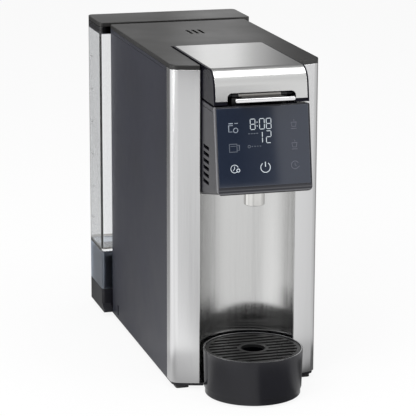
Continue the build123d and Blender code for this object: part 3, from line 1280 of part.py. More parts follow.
def heater_bracket():
    """Cradle that stands the heater on the base."""
    gap = HEATER_RADIUS + SEAM
    outer = gap + BRACKET_THICKNESS
    z0 = PANEL_BOTTOM_Z
    foot = block(HEATER_X - outer, HEATER_X + outer, HEATER_Y - HEATER_RADIUS, HEATER_Y + HEATER_RADIUS,
                 z0, z0 + BRACKET_THICKNESS)
    posts = block(HEATER_X - outer, HEATER_X + outer, HEATER_Y - BRACKET_HALF_DEPTH,
                  HEATER_Y + BRACKET_HALF_DEPTH, z0, z0 + BRACKET_HEIGHT)
    posts -= block(HEATER_X - gap, HEATER_X + gap, 0, FAR, z0 + BRACKET_THICKNESS, FAR)
    return foot + posts


def thermostat():
    """Disc thermostat on the heater's rear."""
    y = HEATER_Y + HEATER_RADIUS + SEAM
    body = rod_y(HEATER_X, y, y + THERMOSTAT_DEPTH, THERMOSTAT_Z, THERMOSTAT_RADIUS)
    rear = y + THERMOSTAT_DEPTH
    tab = block(HEATER_X - THERMOSTAT_TAB_HALF, HEATER_X + THERMOSTAT_TAB_HALF, rear - OVERLAP,
                rear + THERMOSTAT_TAB_LENGTH, THERMOSTAT_Z, THERMOSTAT_Z + THERMOSTAT_TAB_THICKNESS)
    return body + tab


def thermal_fuse():
    """Fuse held along the heater's rear."""
    y = HEATER_Y + HEATER_RADIUS + SEAM + FUSE_RADIUS
    return disc(HEATER_X, y, FUSE_Z - FUSE_LENGTH / 2, FUSE_Z + FUSE_LENGTH / 2, FUSE_RADIUS)


def inlet_hose():
    """Hose from the dock's outlet to the flow meter."""
    y = dock_outlet_y()
    route = [(0, y, DOCK_BOTTOM_Z - SEAM), (0, y, HOSE_Z), (0, METER_Y + METER_RADIUS + SEAM, HOSE_Z)]
    return hose(route, HOSE_RADIUS, HOSE_BORE_RADIUS, HOSE_BEND_RADIUS)


def pump_hose():
    """Hose from the flow meter round to the rear of the pump."""
    z = pump_height()
    start = (-METER_RADIUS - SEAM, METER_Y, HOSE_Z)
    route = [start, (PUMP_X, METER_Y, HOSE_Z), (PUMP_X, METER_Y, z),
             (PUMP_X, PUMP_FRONT_Y + PUMP_LENGTH + SEAM, z)]
    return hose(route, HOSE_RADIUS, HOSE_BORE_RADIUS, PUMP_HOSE_BEND)


def heater_hose():
    """Hose from the pump's outlet over to the heater."""
    y = pump_outlet_y()
    start = (PUMP_X, y, pump_height() + PUMP_RADIUS + HOSE_RADIUS + SEAM)
    route = [start, (PUMP_X, y, HEATER_HOSE_Z), (PUMP_X, HEATER_Y, HEATER_HOSE_Z),
             (side_fitting_x() - SEAM, HEATER_Y, HEATER_HOSE_Z)]
    return hose(route, HOSE_RADIUS, HOSE_BORE_RADIUS, HOSE_BEND_RADIUS)


def brew_hose():
    """Straight hose from the heater up to the underside of the deck."""
    z0 = heater_bottom() + HEATER_HEIGHT + HEATER_TOP_FITTING + SEAM
    z1 = DECK_TOP_Z - DECK_THICKNESS - SEAM
    return tube(HEATER_X, HEATER_Y, z0, z1, HOSE_RADIUS, HOSE_BORE_RADIUS)


def power_board():
    """Mains and control board, standing on the base by the right panel."""
    rear = POWER_BOARD_FRONT_Y + POWER_BOARD_LENGTH
    return block(POWER_BOARD_X, POWER_BOARD_X + BOARD_THICKNESS, POWER_BOARD_FRONT_Y, rear, PANEL_BOTTOM_Z,
                 PANEL_BOTTOM_Z + POWER_BOARD_HEIGHT)


def board_parts():
    """Transformer, relay, heat sink and capacitors on the power board."""
    x1 = POWER_BOARD_X - RUN_CLEARANCE
    transformer = block(x1 - TRANSFORMER_DEPTH, x1, TRANSFORMER_Y, TRANSFORMER_Y + TRANSFORMER_LENGTH,
                        TRANSFORMER_Z, TRANSFORMER_Z + TRANSFORMER_HEIGHT)
    relay = block(x1 - RELAY_DEPTH, x1, RELAY_Y, RELAY_Y + RELAY_LENGTH, RELAY_Z, RELAY_Z + RELAY_HEIGHT)
    sink = block(x1 - SINK_DEPTH, x1, SINK_Y, SINK_Y + SINK_LENGTH, SINK_Z, SINK_Z + SINK_HEIGHT)
    capacitors = [rod_x(x1 - CAPACITOR_DEPTH, x1, CAPACITOR_Y + CAPACITOR_PITCH * k, CAPACITOR_Z,
                        CAPACITOR_RADIUS) for k in range(CAPACITOR_COUNT)]
    return solids_of(transformer, relay, sink, *capacitors)


def display_cable():
    """Cable from the power board up and forward into the head."""
    y_low = POWER_BOARD_FRONT_Y - CABLE_RADIUS - SEAM
    route = [(POWER_BOARD_X, y_low, PANEL_BOTTOM_Z + POWER_BOARD_HEIGHT / 2),
             (POWER_BOARD_X, y_low, CABLE_TOP_Z), (CABLE_X, y_low, CABLE_TOP_Z),
             (CABLE_X, HEAD_BACK_Y - 2 * HEAD_WALL, CABLE_TOP_Z)]
    return hose(route, CABLE_RADIUS, CABLE_RADIUS / 2, CABLE_BEND)


PIECES = {
    "base_plate": base_plate,
    "case_screws": case_screws,
    "rubber_feet": rubber_feet,
    "left_side_panel": side_panel,
    "right_side_panel": right_side_panel,
    "cord_gland": cord_gland,
    "left_pilaster_skin": pilaster_skin,
    "right_pilaster_skin": lambda: mirror(pilaster_skin(), about=Plane.YZ),
    "niche_panel": niche_panel,
    "front_frame": front_frame,
    "rear_panel": rear_panel,
    "top_cover": top_cover,
    "tray_cup": tray_cup,
    "drip_grille": drip_grille,
    "head_bezel": head_bezel,
    "display_glass": display_glass,
    "display_board": display_board,
    "head_housing": head_housing,
    "brew_chamber": brew_chamber,
    "pod_holder": pod_holder,
    "lower_needle": lower_needle,
    "funnel": funnel,
    "nozzle": nozzle,
    "lid_hinge_pin": hinge_pin,
    "lid_body": lid_body,
    "lid_skin": lid_skin,
    "lid_liner": lid_liner,
    "upper_needle": upper_needle,
    "needle_seal": needle_seal,
    "lid_water_tube": lid_water_tube,
    "latch_pin": latch_pin,
    "latch_handle": latch_handle,
    "latch_spring": latch_spring,
    "tank_shell": tank_shell,
    "tank_lid": tank_lid,
    "tank_lid_skirt": tank_lid_skirt,
    "tank_lid_seal": tank_lid_seal,
    "tank_pedestal": tank_pedestal,
    "dock_port": dock_port,
    "dock_seal": dock_seal,
    "valve_body": valve_body,
    "valve_poppet": valve_poppet,
    "valve_spring": valve_spring,
    "tank_filter": tank_filter,
    "flow_meter": flow_meter,
    "pump_mount": pump_mount,
    "water_pump": water_pump,
    "pump_motor": pump_motor,
    "air_pump": air_pump,
    "heater": heater,
    "heater_bracket": heater_bracket,
    "thermostat": thermostat,
    "thermal_fuse": thermal_fuse,
    "inlet_hose": inlet_hose,
    "pump_hose": pump_hose,
    "heater_hose": heater_hose,
    "brew_hose": brew_hose,
    "power_board": power_board,
    "board_parts": board_parts,
    "display_cable": display_cable,
}

os.makedirs("parts", exist_ok=True)
for node_name, make in PIECES.items():
    keep(node_name, make())
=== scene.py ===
"""Looks, studio and camera for a slim single-serve coffee maker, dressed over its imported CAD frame."""

import logging
import math
from dataclasses import dataclass
from enum import Enum

import bmesh
import bpy
from mathutils import Matrix, Vector

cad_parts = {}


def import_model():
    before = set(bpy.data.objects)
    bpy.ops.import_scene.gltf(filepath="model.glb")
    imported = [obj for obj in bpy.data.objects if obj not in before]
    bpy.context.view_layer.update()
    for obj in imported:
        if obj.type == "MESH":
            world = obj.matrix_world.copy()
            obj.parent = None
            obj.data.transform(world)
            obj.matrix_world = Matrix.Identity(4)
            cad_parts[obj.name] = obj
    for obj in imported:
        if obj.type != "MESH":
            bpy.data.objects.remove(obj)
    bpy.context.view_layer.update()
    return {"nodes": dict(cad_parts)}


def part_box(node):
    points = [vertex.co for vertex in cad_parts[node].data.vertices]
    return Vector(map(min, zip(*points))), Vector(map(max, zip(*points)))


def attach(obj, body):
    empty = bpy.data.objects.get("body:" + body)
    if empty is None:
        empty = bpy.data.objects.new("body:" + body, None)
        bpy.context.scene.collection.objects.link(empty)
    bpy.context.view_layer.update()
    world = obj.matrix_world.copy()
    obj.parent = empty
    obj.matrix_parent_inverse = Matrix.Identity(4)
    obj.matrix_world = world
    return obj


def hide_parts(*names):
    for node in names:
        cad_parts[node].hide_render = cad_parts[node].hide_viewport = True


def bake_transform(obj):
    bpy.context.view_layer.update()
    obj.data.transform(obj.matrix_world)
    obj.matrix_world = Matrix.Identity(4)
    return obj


log = logging.getLogger("coffee_maker")

MM = 0.001
DEGREES = 180 / math.pi
TRAY_CENTRE_Y = -14.3

Color = tuple[float, float, float]
Point2 = tuple[float, float]
Point3 = tuple[float, float, float]
Stops = tuple[Point2, ...]
Socket = bpy.types.NodeSocket
Value = Socket | Point3 | float


def row_point(x: float, y: float, z: float) -> Vector:
    """Turn drawing millimetres into row metres.

    Args:
        x: Millimetres to the viewer's right.
        y: Millimetres back from the bowed front.
        z: Millimetres above the worktop.

    Returns:
        The same place in the shared frame, which is found from the round tray.
    """
    low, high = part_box("tray_cup")
    return Vector((x * MM, (low.y + high.y) / 2 + (y - TRAY_CENTRE_Y) * MM, z * MM))


def place_object(name: str, data: bpy.types.ID) -> bpy.types.Object:
    """Put a new object into the scene.

    Args:
        name: Its name.
        data: The mesh, lamp or camera that it holds.

    Returns:
        The object, at the origin.
    """
    made = bpy.data.objects.new(name, data)
    bpy.context.scene.collection.objects.link(made)
    return made


# Node trees

FLOAT = "NodeSocketFloat"
VECTOR = "NodeSocketVector"
INTEGER = "NodeSocketInt"
NOISE_SPAN = (0.3, 0.7)
SMEAR_SPAN = (0.35, 0.7)


class Tree:
    """A node tree with short calls for adding nodes and joining them."""

    def __init__(self, tree: bpy.types.NodeTree) -> None:
        """Wrap a tree and empty it."""
        self.tree = tree
        tree.nodes.clear()

    def feed(self, socket: Socket, value: Value) -> None:
        """Join an output to a socket, or set the socket's own number, vector or colour.

        Args:
            socket: The input socket.
            value: An output, or a constant.
        """
        if isinstance(value, Socket):
            self.tree.links.new(value, socket)
        else:
            socket.default_value = (*value, 1.0) if socket.type == "RGBA" else value

    def add(self, kind: str, inputs: dict[str | int, Value] | None = None, **settings: object) -> bpy.types.Node:
        """Add a node.

        Args:
            kind: The node's type name.
            inputs: Socket names or numbers with a constant or an output to join.
            settings: Attributes to set on the node first.

        Returns:
            The new node.
        """
        node = self.tree.nodes.new(kind)
        for name, value in settings.items():
            setattr(node, name, value)
        for name, value in (inputs or {}).items():
            self.feed(node.inputs[name], value)
        return node

    def where(self) -> Socket:
        """Return the place in the shared frame that the shader reads."""
        return self.add("ShaderNodeTexCoord").outputs["Object"]

    def parts(self, vector: Socket) -> bpy.types.bpy_prop_collection:
        """Return a vector's three parts."""
        return self.add("ShaderNodeSeparateXYZ", {0: vector}).outputs

    def vector(self, x: Value = 0.0, y: Value = 0.0, z: Value = 0.0) -> Socket:
        """Return a vector of three values or sockets."""
        return self.add("ShaderNodeCombineXYZ", {0: x, 1: y, 2: z}).outputs[0]

    def combine(self, operation: str, a: Value, b: Value) -> Socket:
        """Return the vector that an operation gives for two vectors."""
        return self.add("ShaderNodeVectorMath", {0: a, 1: b}, operation=operation).outputs[0]

    def math(self, operation: str, a: Value, b: Value = 0.0, clamp: bool = False) -> Socket:
        """Add a Math node.

        Args:
            operation: The operation's name.
            a: First value or socket.
            b: Second value or socket.
            clamp: Whether the result is held between 0 and 1.

        Returns:
            The result's socket.
        """
        return self.add("ShaderNodeMath", {0: a, 1: b}, operation=operation, use_clamp=clamp).outputs[0]

    def spread(self, value: Socket, low: float, high: float, to_low: float = 0.0, to_high: float = 1.0) -> Socket:
        """Remap a value between two ranges, clamped.

        Args:
            value: The socket to remap.
            low: Start of the value's range.
            high: End of the value's range.
            to_low: Result at the start.
            to_high: Result at the end.

        Returns:
            The result's socket.
        """
        inputs = {"Value": value, "From Min": low, "From Max": high, "To Min": to_low, "To Max": to_high}
        return self.add("ShaderNodeMapRange", inputs).outputs[0]

    def vary(self, noise: Socket, low: float = 0.0, high: float = 1.0, span: Point2 = NOISE_SPAN) -> Socket:
        """Spread the usual reach of a noise over a range.

        Args:
            noise: The noise's socket.
            low: Result at the span's start.
            high: Result at the span's end.
            span: The reach of the noise that counts.

        Returns:
            The result's socket.
        """
        return self.spread(noise, *span, low, high)

    def mix(self, factor: Value, a: Value, b: Value) -> Socket:
        """Return the mix of two colours, with the factor as the share of the second."""
        return self.add("ShaderNodeMix", {0: factor, 6: a, 7: b}, data_type="RGBA").outputs[2]

    def mix_level(self, factor: Value, a: Value, b: Value) -> Socket:
        """Return the mix of two numbers, with the factor as the share of the second."""
        return self.add("ShaderNodeMix", {0: factor, 2: a, 3: b}, data_type="FLOAT").outputs[0]

    def noise(self, vector: Socket, scale: Value, detail: float = 2.0) -> Socket:
        """Return a noise read at a place, of a given scale and number of octaves."""
        return self.add("ShaderNodeTexNoise", {"Vector": vector, "Scale": scale, "Detail": detail}).outputs[0]

    def drawn_noise(self, vector: Socket, scale: Point3, detail: float) -> Socket:
        """Return a noise that is drawn out by its own scale along each axis."""
        return self.noise(self.add("ShaderNodeMapping", {0: vector, 3: scale}).outputs[0], 1.0, detail)

    def bump(self, height: Socket, strength: float, distance: float, normal: Socket | None = None) -> Socket:
        """Raise a bump.

        Args:
            height: The height's socket.
            strength: The bump's strength.
            distance: Metres that a height of 1 stands for.
            normal: The normal that it is raised on, unless it is the surface's own.

        Returns:
            The normal's socket.
        """
        inputs = {"Strength": strength, "Distance": distance, "Height": height}
        if normal is not None:
            inputs["Normal"] = normal
        return self.add("ShaderNodeBump", inputs).outputs[0]

    def group(self, name: str, inputs: dict[str, Value]) -> bpy.types.bpy_prop_collection:
        """Place a shared node group.

        Args:
            name: The group's name.
            inputs: Its sockets' names with their values.

        Returns:
            The group's outputs.
        """
        return self.add("ShaderNodeGroup", inputs, node_tree=bpy.data.node_groups[name]).outputs

    def ramp(self, value: Socket, stops: Stops, unit: float = 1.0) -> Socket:
        """Read a value through level stops.

        Args:
            value: What is read.
            stops: Values and levels in order.
            unit: What the stops' values are multiplied by.

        Returns:
            The level's socket.
        """
        low, high = stops[0][0] * unit, stops[-1][0] * unit
        node = self.add("ShaderNodeValToRGB", {0: self.spread(value, low, high)})
        elements = node.color_ramp.elements
        while len(elements) < len(stops):
            elements.new(0.5)
        for element, (place, level) in zip(elements, stops):
            element.position = (place * unit - low) / (high - low)
            element.color = (level, level, level, 1.0)
        return node.outputs[0]


def new_material(name: str) -> tuple[bpy.types.Material, Tree]:
    """Make a material of nodes.

    Args:
        name: Its name.

    Returns:
        The material and its empty tree.
    """
    material = bpy.data.materials.new(name)
    material.use_nodes = True
    return material, Tree(material.node_tree)


# Shader node groups


def new_group(name: str, inputs: dict[str, tuple[str, object]],
              outputs: dict[str, str]) -> tuple[Tree, bpy.types.bpy_prop_collection, Socket]:
    """Make a shader node group with named sockets.

    Args:
        name: The group's name.
        inputs: Socket names with a type and a default.
        outputs: Socket names with a type.

    Returns:
        The group's tree, the values given to it, and the place that it reads.
    """
    group = bpy.data.node_groups.new(name, "ShaderNodeTree")
    for socket, (kind, default) in inputs.items():
        group.interface.new_socket(socket, in_out="INPUT", socket_type=kind).default_value = default
    for socket, kind in outputs.items():
        group.interface.new_socket(socket, in_out="OUTPUT", socket_type=kind)
    t = Tree(group)
    return t, t.add("NodeGroupInput").outputs, t.where()


FINE_GRAIN_SHARE = 0.5
PATCH_SCALE = 90.0
PATCH_LEVELS = (0.35, 1.0)
WORN_SPAN = (0.99, 0.8)
BEVEL_SAMPLES = 6
DUST_SCALE = 35.0
DUST_SPAN = (0.4, 0.75)
DUSTY_SLOPE = (0.5, 1.0)
FINE_STREAK_SCALE = 2600.0
BROAD_STREAK_SCALE = 420.0
BROAD_STREAK_SHARE = 0.4


def build_moulded_grain() -> None:
    """Build the pebbled skin of moulded plastic, as a bump height and a broad tone."""
    t, given, where = new_group("moulded_grain", {"Pebble Scale": (FLOAT, 900.0), "Cloud Scale": (FLOAT, 14.0)},
                                {"Height": FLOAT, "Tone": FLOAT})
    pebble = t.add("ShaderNodeTexVoronoi", {"Vector": where, "Scale": given[0]}, feature="SMOOTH_F1")
    fine, cloud = t.noise(where, given[0], 3.0), t.noise(where, given[1], 4.0)
    height = t.math("ADD", pebble.outputs["Distance"], t.math("MULTIPLY", fine, FINE_GRAIN_SHARE))
    t.add("NodeGroupOutput", {"Height": height, "Tone": cloud})


def build_edge_wear_and_glint() -> None:
    """Build a patchy mask of the sharp edges, with the rounded normal that goes with it; the finishes lay scuffing
    and painted highlights over the mask.
    """
    t, given, where = new_group("edge_wear_and_glint", {"Radius": (FLOAT, 0.0006)}, {"Mask": FLOAT, "Normal": VECTOR})
    rounded = t.add("ShaderNodeBevel", {"Radius": given[0]}, samples=BEVEL_SAMPLES).outputs[0]
    flat = t.add("ShaderNodeNewGeometry").outputs["Normal"]
    alike = t.add("ShaderNodeVectorMath", {0: rounded, 1: flat}, operation="DOT_PRODUCT").outputs["Value"]
    patchy = t.vary(t.noise(where, PATCH_SCALE, 3.0), *PATCH_LEVELS, SMEAR_SPAN)
    mask = t.math("MULTIPLY", t.spread(alike, *WORN_SPAN), patchy, clamp=True)
    t.add("NodeGroupOutput", {"Mask": mask, "Normal": rounded})


def build_dust() -> None:
    """Build a mask of faint dust on faces that look up."""
    t, given, where = new_group("dust", {"Amount": (FLOAT, 0.1)}, {"Mask": FLOAT})
    up = t.parts(t.add("ShaderNodeNewGeometry").outputs["Normal"])[2]
    patch = t.vary(t.noise(where, DUST_SCALE, 5.0), span=DUST_SPAN)
    facing = t.spread(up, *DUSTY_SLOPE)
    t.add("NodeGroupOutput", {"Mask": t.math("MULTIPLY", t.math("MULTIPLY", patch, facing), given[0])})


def build_brushed_streaks() -> None:
    """Build the streaks of brushed sheet metal: a fine streak, a broad streak and a bump height."""
    t, given, where = new_group("brushed_streaks", {"Stretch": (VECTOR, (1.0, 1.0, 0.01))},
                                {"Fine": FLOAT, "Broad": FLOAT, "Height": FLOAT})
    along = t.combine("MULTIPLY", where, given[0])
    fine, broad = t.noise(along, FINE_STREAK_SCALE, 3.0), t.noise(along, BROAD_STREAK_SCALE)
    height = t.math("ADD", fine, t.math("MULTIPLY", broad, BROAD_STREAK_SHARE))
    t.add("NodeGroupOutput", {"Fine": fine, "Broad": broad, "Height": height})


# Finishes


class Grain(Enum):
    """Which way a sheet is brushed, as the stretch of its streaks and the axis its sheen turns about."""

    UPRIGHT = ((1.0, 1.0, 0.012), "Z")
    ACROSS = ((0.012, 1.0, 1.0), "X")


def shade(color: Color, factor: float, lift: float = 0.0) -> Color:
    """Return a colour made darker or lighter and lifted evenly, held at full white."""
    return tuple(min(c * factor + lift, 1.0) for c in color)


@dataclass(frozen=True)
class Finish:
    """What every finish shares: its name, its main colour and its Principled shader."""

    name: str
    color: Color

    def build(self) -> bpy.types.Material:
        """Build the material.

        Returns:
            The material.
        """
        material, t = new_material(self.name)
        shader = t.add("ShaderNodeBsdfPrincipled", self.surface(t))
        t.add("ShaderNodeOutputMaterial", {"Surface": shader.outputs[0]})
        return material

    def surface(self, t: Tree) -> dict[str, Value]:
        """Build what feeds the shader, in each finish's own way.

        Args:
            t: The material's tree.

        Returns:
            The shader's inputs by name.
        """
        raise NotImplementedError


@dataclass(frozen=True)
class MouldedPlastic(Finish):
    """Opaque moulding with a pebbled skin, faint dust, and paler edges that are partly scuffing and partly a painted
    highlight.
    """

    roughness: float = 0.45
    pebble_scale: float = 900.0
    bump: float = 0.15
    wear_and_glint: float = 0.25
    dust: float = 0.06
    edge_radius: float = 0.0006
    specular: float = 0.5
    bump_depth: float = 0.0002
    tones: Point2 = (0.88, 1.12)
    worn_glint_tone: float = 1.6
    worn_glint_lift: float = 0.03
    gloss_span: Point2 = (-0.04, 0.05)
    dust_color: Color = (0.5, 0.49, 0.47)

    def surface(self, t: Tree) -> dict[str, Value]:
        """Build what feeds the shader.

        Args:
            t: The material's tree.

        Returns:
            The shader's inputs by name.
        """
        grain = t.group("moulded_grain", {"Pebble Scale": self.pebble_scale})
        edge = t.group("edge_wear_and_glint", {"Radius": self.edge_radius})
        dust = t.group("dust", {"Amount": self.dust})
        tone = t.mix(t.vary(grain["Tone"]), *(shade(self.color, part) for part in self.tones))
        # Paler edges: partly scuffing from use, partly a painted highlight where the edges catch light.
        worn_glint_color = shade(self.color, self.worn_glint_tone, self.worn_glint_lift)
        rubbed_glinting = t.mix(t.math("MULTIPLY", edge["Mask"], self.wear_and_glint), tone, worn_glint_color)
        return {"Base Color": t.mix(dust["Mask"], rubbed_glinting, self.dust_color),
                "Roughness": t.vary(grain["Tone"], *(self.roughness + part for part in self.gloss_span)),
                "Normal": t.bump(grain["Height"], self.bump, self.bump_depth, edge["Normal"]),
                "Specular IOR Level": self.specular}


@dataclass(frozen=True)
class BevelledPlastic(Finish):
    """Glossy frame of the glass, with painted highlights down its left rim and across its lip, and a foot darkened
    with painted shade.

    The lip's bands are stops of millimetres above the worktop and levels of painted highlight.
    """

    # The bevel colour and the levels paint highlights; the foot tone paints shade under the lip.
    painted_highlight_color: Color
    rim_x: float
    bands: Stops
    rim_highlight_level: float = 0.5
    plain_level: float = 0.1
    fade: float = 0.0002
    foot_shade_tone: float = 0.1
    foot_roughness: float = 0.85
    gloss_span: Point2 = (0.1, 0.15)
    pebble_scale: float = 1600.0
    edge_radius: float = 0.0005

    def surface(self, t: Tree) -> dict[str, Value]:
        """Build what feeds the shader.

        Args:
            t: The material's tree.

        Returns:
            The shader's inputs by name.
        """
        across, _, height = t.parts(t.where())
        grain = t.group("moulded_grain", {"Pebble Scale": self.pebble_scale})
        # Painted highlights: light lines across the lip and down the left rim.
        lip = t.ramp(height, self.bands, MM)
        rim = t.spread(across, -self.rim_x - self.fade, -self.rim_x, self.rim_highlight_level, 0.0)
        light = t.math("MAXIMUM", rim, t.math("SUBTRACT", lip, self.plain_level), clamp=True)
        # Painted shade: the foot under the lip darkens towards black, like a shadow gap.
        foot = t.spread(lip, 0.0, self.plain_level, self.foot_shade_tone, 1.0)
        plain = t.mix(foot, shade(self.color, self.foot_shade_tone), self.color)
        dulled = t.spread(foot, self.foot_shade_tone, 1.0, self.foot_roughness, 0.0)
        return {"Base Color": t.mix(light, plain, self.painted_highlight_color),
                "Roughness": t.math("ADD", dulled, t.vary(grain["Tone"], *self.gloss_span)),
                "Normal": t.group("edge_wear_and_glint", {"Radius": self.edge_radius})["Normal"]}


@dataclass(frozen=True)
class BrushedSteel(Finish):
    """Brushed sheet with streaks along its grain, and paler edges that are partly scuffing and partly a painted
    highlight.
    """

    grain: Grain
    roughness: float = 0.3
    anisotropy: float = 0.6
    contrast: float = 1.0
    fine_depth: float = 0.05
    broad_depth: float = 0.04
    tones: Point2 = (-0.09, 0.07)
    wear_and_glint: float = 0.35
    # Pale edges: partly scuffing, partly a painted highlight.
    edge_glint_color: Color = (0.95, 0.95, 0.95)
    edge_radius: float = 0.0004
    bump: float = 0.12
    bump_depth: float = 0.00005

    def surface(self, t: Tree) -> dict[str, Value]:
        """Build what feeds the shader.

        Args:
            t: The material's tree.

        Returns:
            The shader's inputs by name.
        """
        stretch, axis = self.grain.value
        streaks = t.group("brushed_streaks", {"Stretch": stretch})
        edge = t.group("edge_wear_and_glint", {"Radius": self.edge_radius})
        fine, broad = (t.vary(streaks[name], -depth * self.contrast, depth * self.contrast)
                       for name, depth in (("Fine", self.fine_depth), ("Broad", self.broad_depth)))
        both = t.math("ADD", fine, broad)
        reach = self.fine_depth + self.broad_depth
        sheet = t.mix(t.spread(both, -reach, reach),
                      *(shade(self.color, 1 + part * self.contrast) for part in self.tones))
        # Painted highlight on the edges, mixed with scuffing.
        return {"Base Color": t.mix(t.math("MULTIPLY", edge["Mask"], self.wear_and_glint), sheet, self.edge_glint_color),
                "Roughness": t.math("ADD", both, self.roughness),
                "Metallic": 1.0, "Anisotropic": self.anisotropy,
                "Normal": t.bump(streaks["Height"], self.bump, self.bump_depth, edge["Normal"]),
                "Tangent": t.add("ShaderNodeTangent", direction_type="RADIAL", axis=axis).outputs[0]}


@dataclass(frozen=True)
class PolishedMetal(Finish):
    """Chrome or plain bright metal with faint smears and fine scratches."""

    roughness: float = 0.08
    smear_scale: float = 60.0
    smear_tone: float = 0.9
    smear_roughness: float = 0.06
    scratch_scale: Point3 = (900.0, 60.0, 900.0)
    edge_radius: float = 0.0003
    bump: float = 0.03
    bump_depth: float = 0.00002

    def surface(self, t: Tree) -> dict[str, Value]:
        """Build what feeds the shader.

        Args:
            t: The material's tree.

        Returns:
            The shader's inputs by name.
        """
        where = t.where()
        smear = t.noise(where, self.smear_scale, 4.0)
        scratch = t.drawn_noise(where, self.scratch_scale, 2.0)
        edge = t.group("edge_wear_and_glint", {"Radius": self.edge_radius})
        smeared = shade(self.color, self.smear_tone)
        return {"Base Color": t.mix(t.vary(smear, span=SMEAR_SPAN), self.color, smeared),
                "Roughness": t.math("ADD", t.vary(smear, 0.0, self.smear_roughness, SMEAR_SPAN), self.roughness),
                "Metallic": 1.0, "Normal": t.bump(scratch, self.bump, self.bump_depth, edge["Normal"])}


@dataclass(frozen=True)
class PullHandle(Finish):
    """Chromed bar on a satin neck, with black moulded ends and hooks behind it."""

    satin: Color
    black: Color
    bar_rear: float
    neck_half: float
    fade: float = 0.0003
    edge_radius: float = 0.0003
    smear_scale: float = 60.0
    smear_tone: float = 0.9
    satin_roughness: float = 0.25
    gloss_span: Point2 = (0.05, 0.11)

    def surface(self, t: Tree) -> dict[str, Value]:
        """Build what feeds the shader.

        Args:
            t: The material's tree.

        Returns:
            The shader's inputs by name.
        """
        where = t.where()
        across, back, _ = t.parts(where)
        bar_rear = row_point(0.0, self.bar_rear, 0.0).y
        behind = t.spread(back, bar_rear, bar_rear + self.fade)
        outer = t.spread(t.math("ABSOLUTE", across), self.neck_half, self.neck_half + self.fade)
        moulded = t.math("MULTIPLY", behind, outer)
        smear = t.noise(where, self.smear_scale, 4.0)
        chrome = t.mix(t.vary(smear, span=SMEAR_SPAN), self.color, shade(self.color, self.smear_tone))
        dulled = t.math("MULTIPLY", behind, self.satin_roughness)
        return {"Base Color": t.mix(moulded, t.mix(behind, chrome, self.satin), self.black),
                "Roughness": t.math("ADD", dulled, t.vary(smear, *self.gloss_span, SMEAR_SPAN)),
                "Metallic": t.math("SUBTRACT", 1.0, moulded),
                "Normal": t.group("edge_wear_and_glint", {"Radius": self.edge_radius})["Normal"]}


@dataclass(frozen=True)
class DarkGlass(Finish):
    """Back-painted touch glass, with a trace of wiping in its gloss and a painted highlight along its edges."""

    edge_glint_color: Color
    edge_radius: float = 0.0008
    edge_glint_share: float = 0.9
    wipe_scale: Point3 = (14.0, 14.0, 50.0)
    wipe_tone: float = 1.3
    wipe_share: float = 0.25
    gloss_span: Point2 = (0.04, 0.07)
    index: float = 1.65

    def surface(self, t: Tree) -> dict[str, Value]:
        """Build what feeds the shader.

        Args:
            t: The material's tree.

        Returns:
            The shader's inputs by name.
        """
        wipe = t.drawn_noise(t.where(), self.wipe_scale, 4.0)
        edge = t.group("edge_wear_and_glint", {"Radius": self.edge_radius})
        # Painted highlight: the glass's edges are lightened where its bevel would catch light.
        tone = t.mix(t.math("MULTIPLY", edge["Mask"], self.edge_glint_share), self.color, self.edge_glint_color)
        wiped = t.mix(t.vary(wipe, 0.0, self.wipe_share, SMEAR_SPAN), tone, shade(self.color, self.wipe_tone))
        return {"Base Color": wiped, "Roughness": t.vary(wipe, *self.gloss_span), "IOR": self.index,
                "Normal": edge["Normal"]}


@dataclass(frozen=True)
class ClearTank(Finish):
    """Clear moulded plastic, frosted and tinted below the tank's floor, with painted shade: greyer end walls, a
    darker line just above the floor, and a near-black band along the top.
    """

    end_shade_color: Color
    frost_color: Color
    floor_shade_line_color: Color
    rim_shade_color: Color
    end_x: float
    floor_z: float
    floor_thickness: float = 0.0025
    rim_z: float = 0.3055
    end_fade: float = 0.0004
    frost_fade: float = 0.0005
    rim_fade: float = 0.0006
    line_start: Point2 = (-0.0002, 0.0004)
    line_end: Point2 = (0.0012, 0.0024)
    frost_roughness: float = 0.25
    gloss_span: Point2 = (0.02, 0.07)
    flow_scale: Point3 = (40.0, 40.0, 12.0)
    index: float = 1.46
    bump: float = 0.05
    bump_depth: float = 0.0004

    def surface(self, t: Tree) -> dict[str, Value]:
        """Build what feeds the shader.

        Args:
            t: The material's tree.

        Returns:
            The shader's inputs by name.
        """
        where = t.where()
        across, _, height = t.parts(where)
        # Painted shade: the end walls are tinted grey, for the darker surroundings seen through them.
        end = t.spread(t.math("ABSOLUTE", across), self.end_x, self.end_x + self.end_fade)
        bottom = self.floor_z - self.floor_thickness
        frost = t.spread(height, bottom - self.frost_fade, bottom, 1.0, 0.0)
        # Painted shade: a darker line just above the floor, where its edge shows through the wall.
        start = t.spread(height, *(self.floor_z + part for part in self.line_start))
        stop = t.spread(height, *(self.floor_z + part for part in self.line_end), 1.0, 0.0)
        flow = t.drawn_noise(where, self.flow_scale, 3.0)
        wall = t.mix(end, self.color, self.end_shade_color)
        lined = t.mix(t.math("MULTIPLY", start, stop), wall, self.floor_shade_line_color)
        # Painted shade: a near-black band at the top of the wall, for the shaded black lid skirt behind it.
        rim = t.spread(height, self.rim_z, self.rim_z + self.rim_fade)
        dulled = t.math("MULTIPLY", frost, self.frost_roughness)
        return {"Base Color": t.mix(rim, t.mix(frost, lined, self.frost_color), self.rim_shade_color),
                "Roughness": t.math("ADD", dulled, t.vary(flow, *self.gloss_span)), "Transmission Weight": 1.0,
                "IOR": self.index, "Normal": t.bump(flow, self.bump, self.bump_depth)}


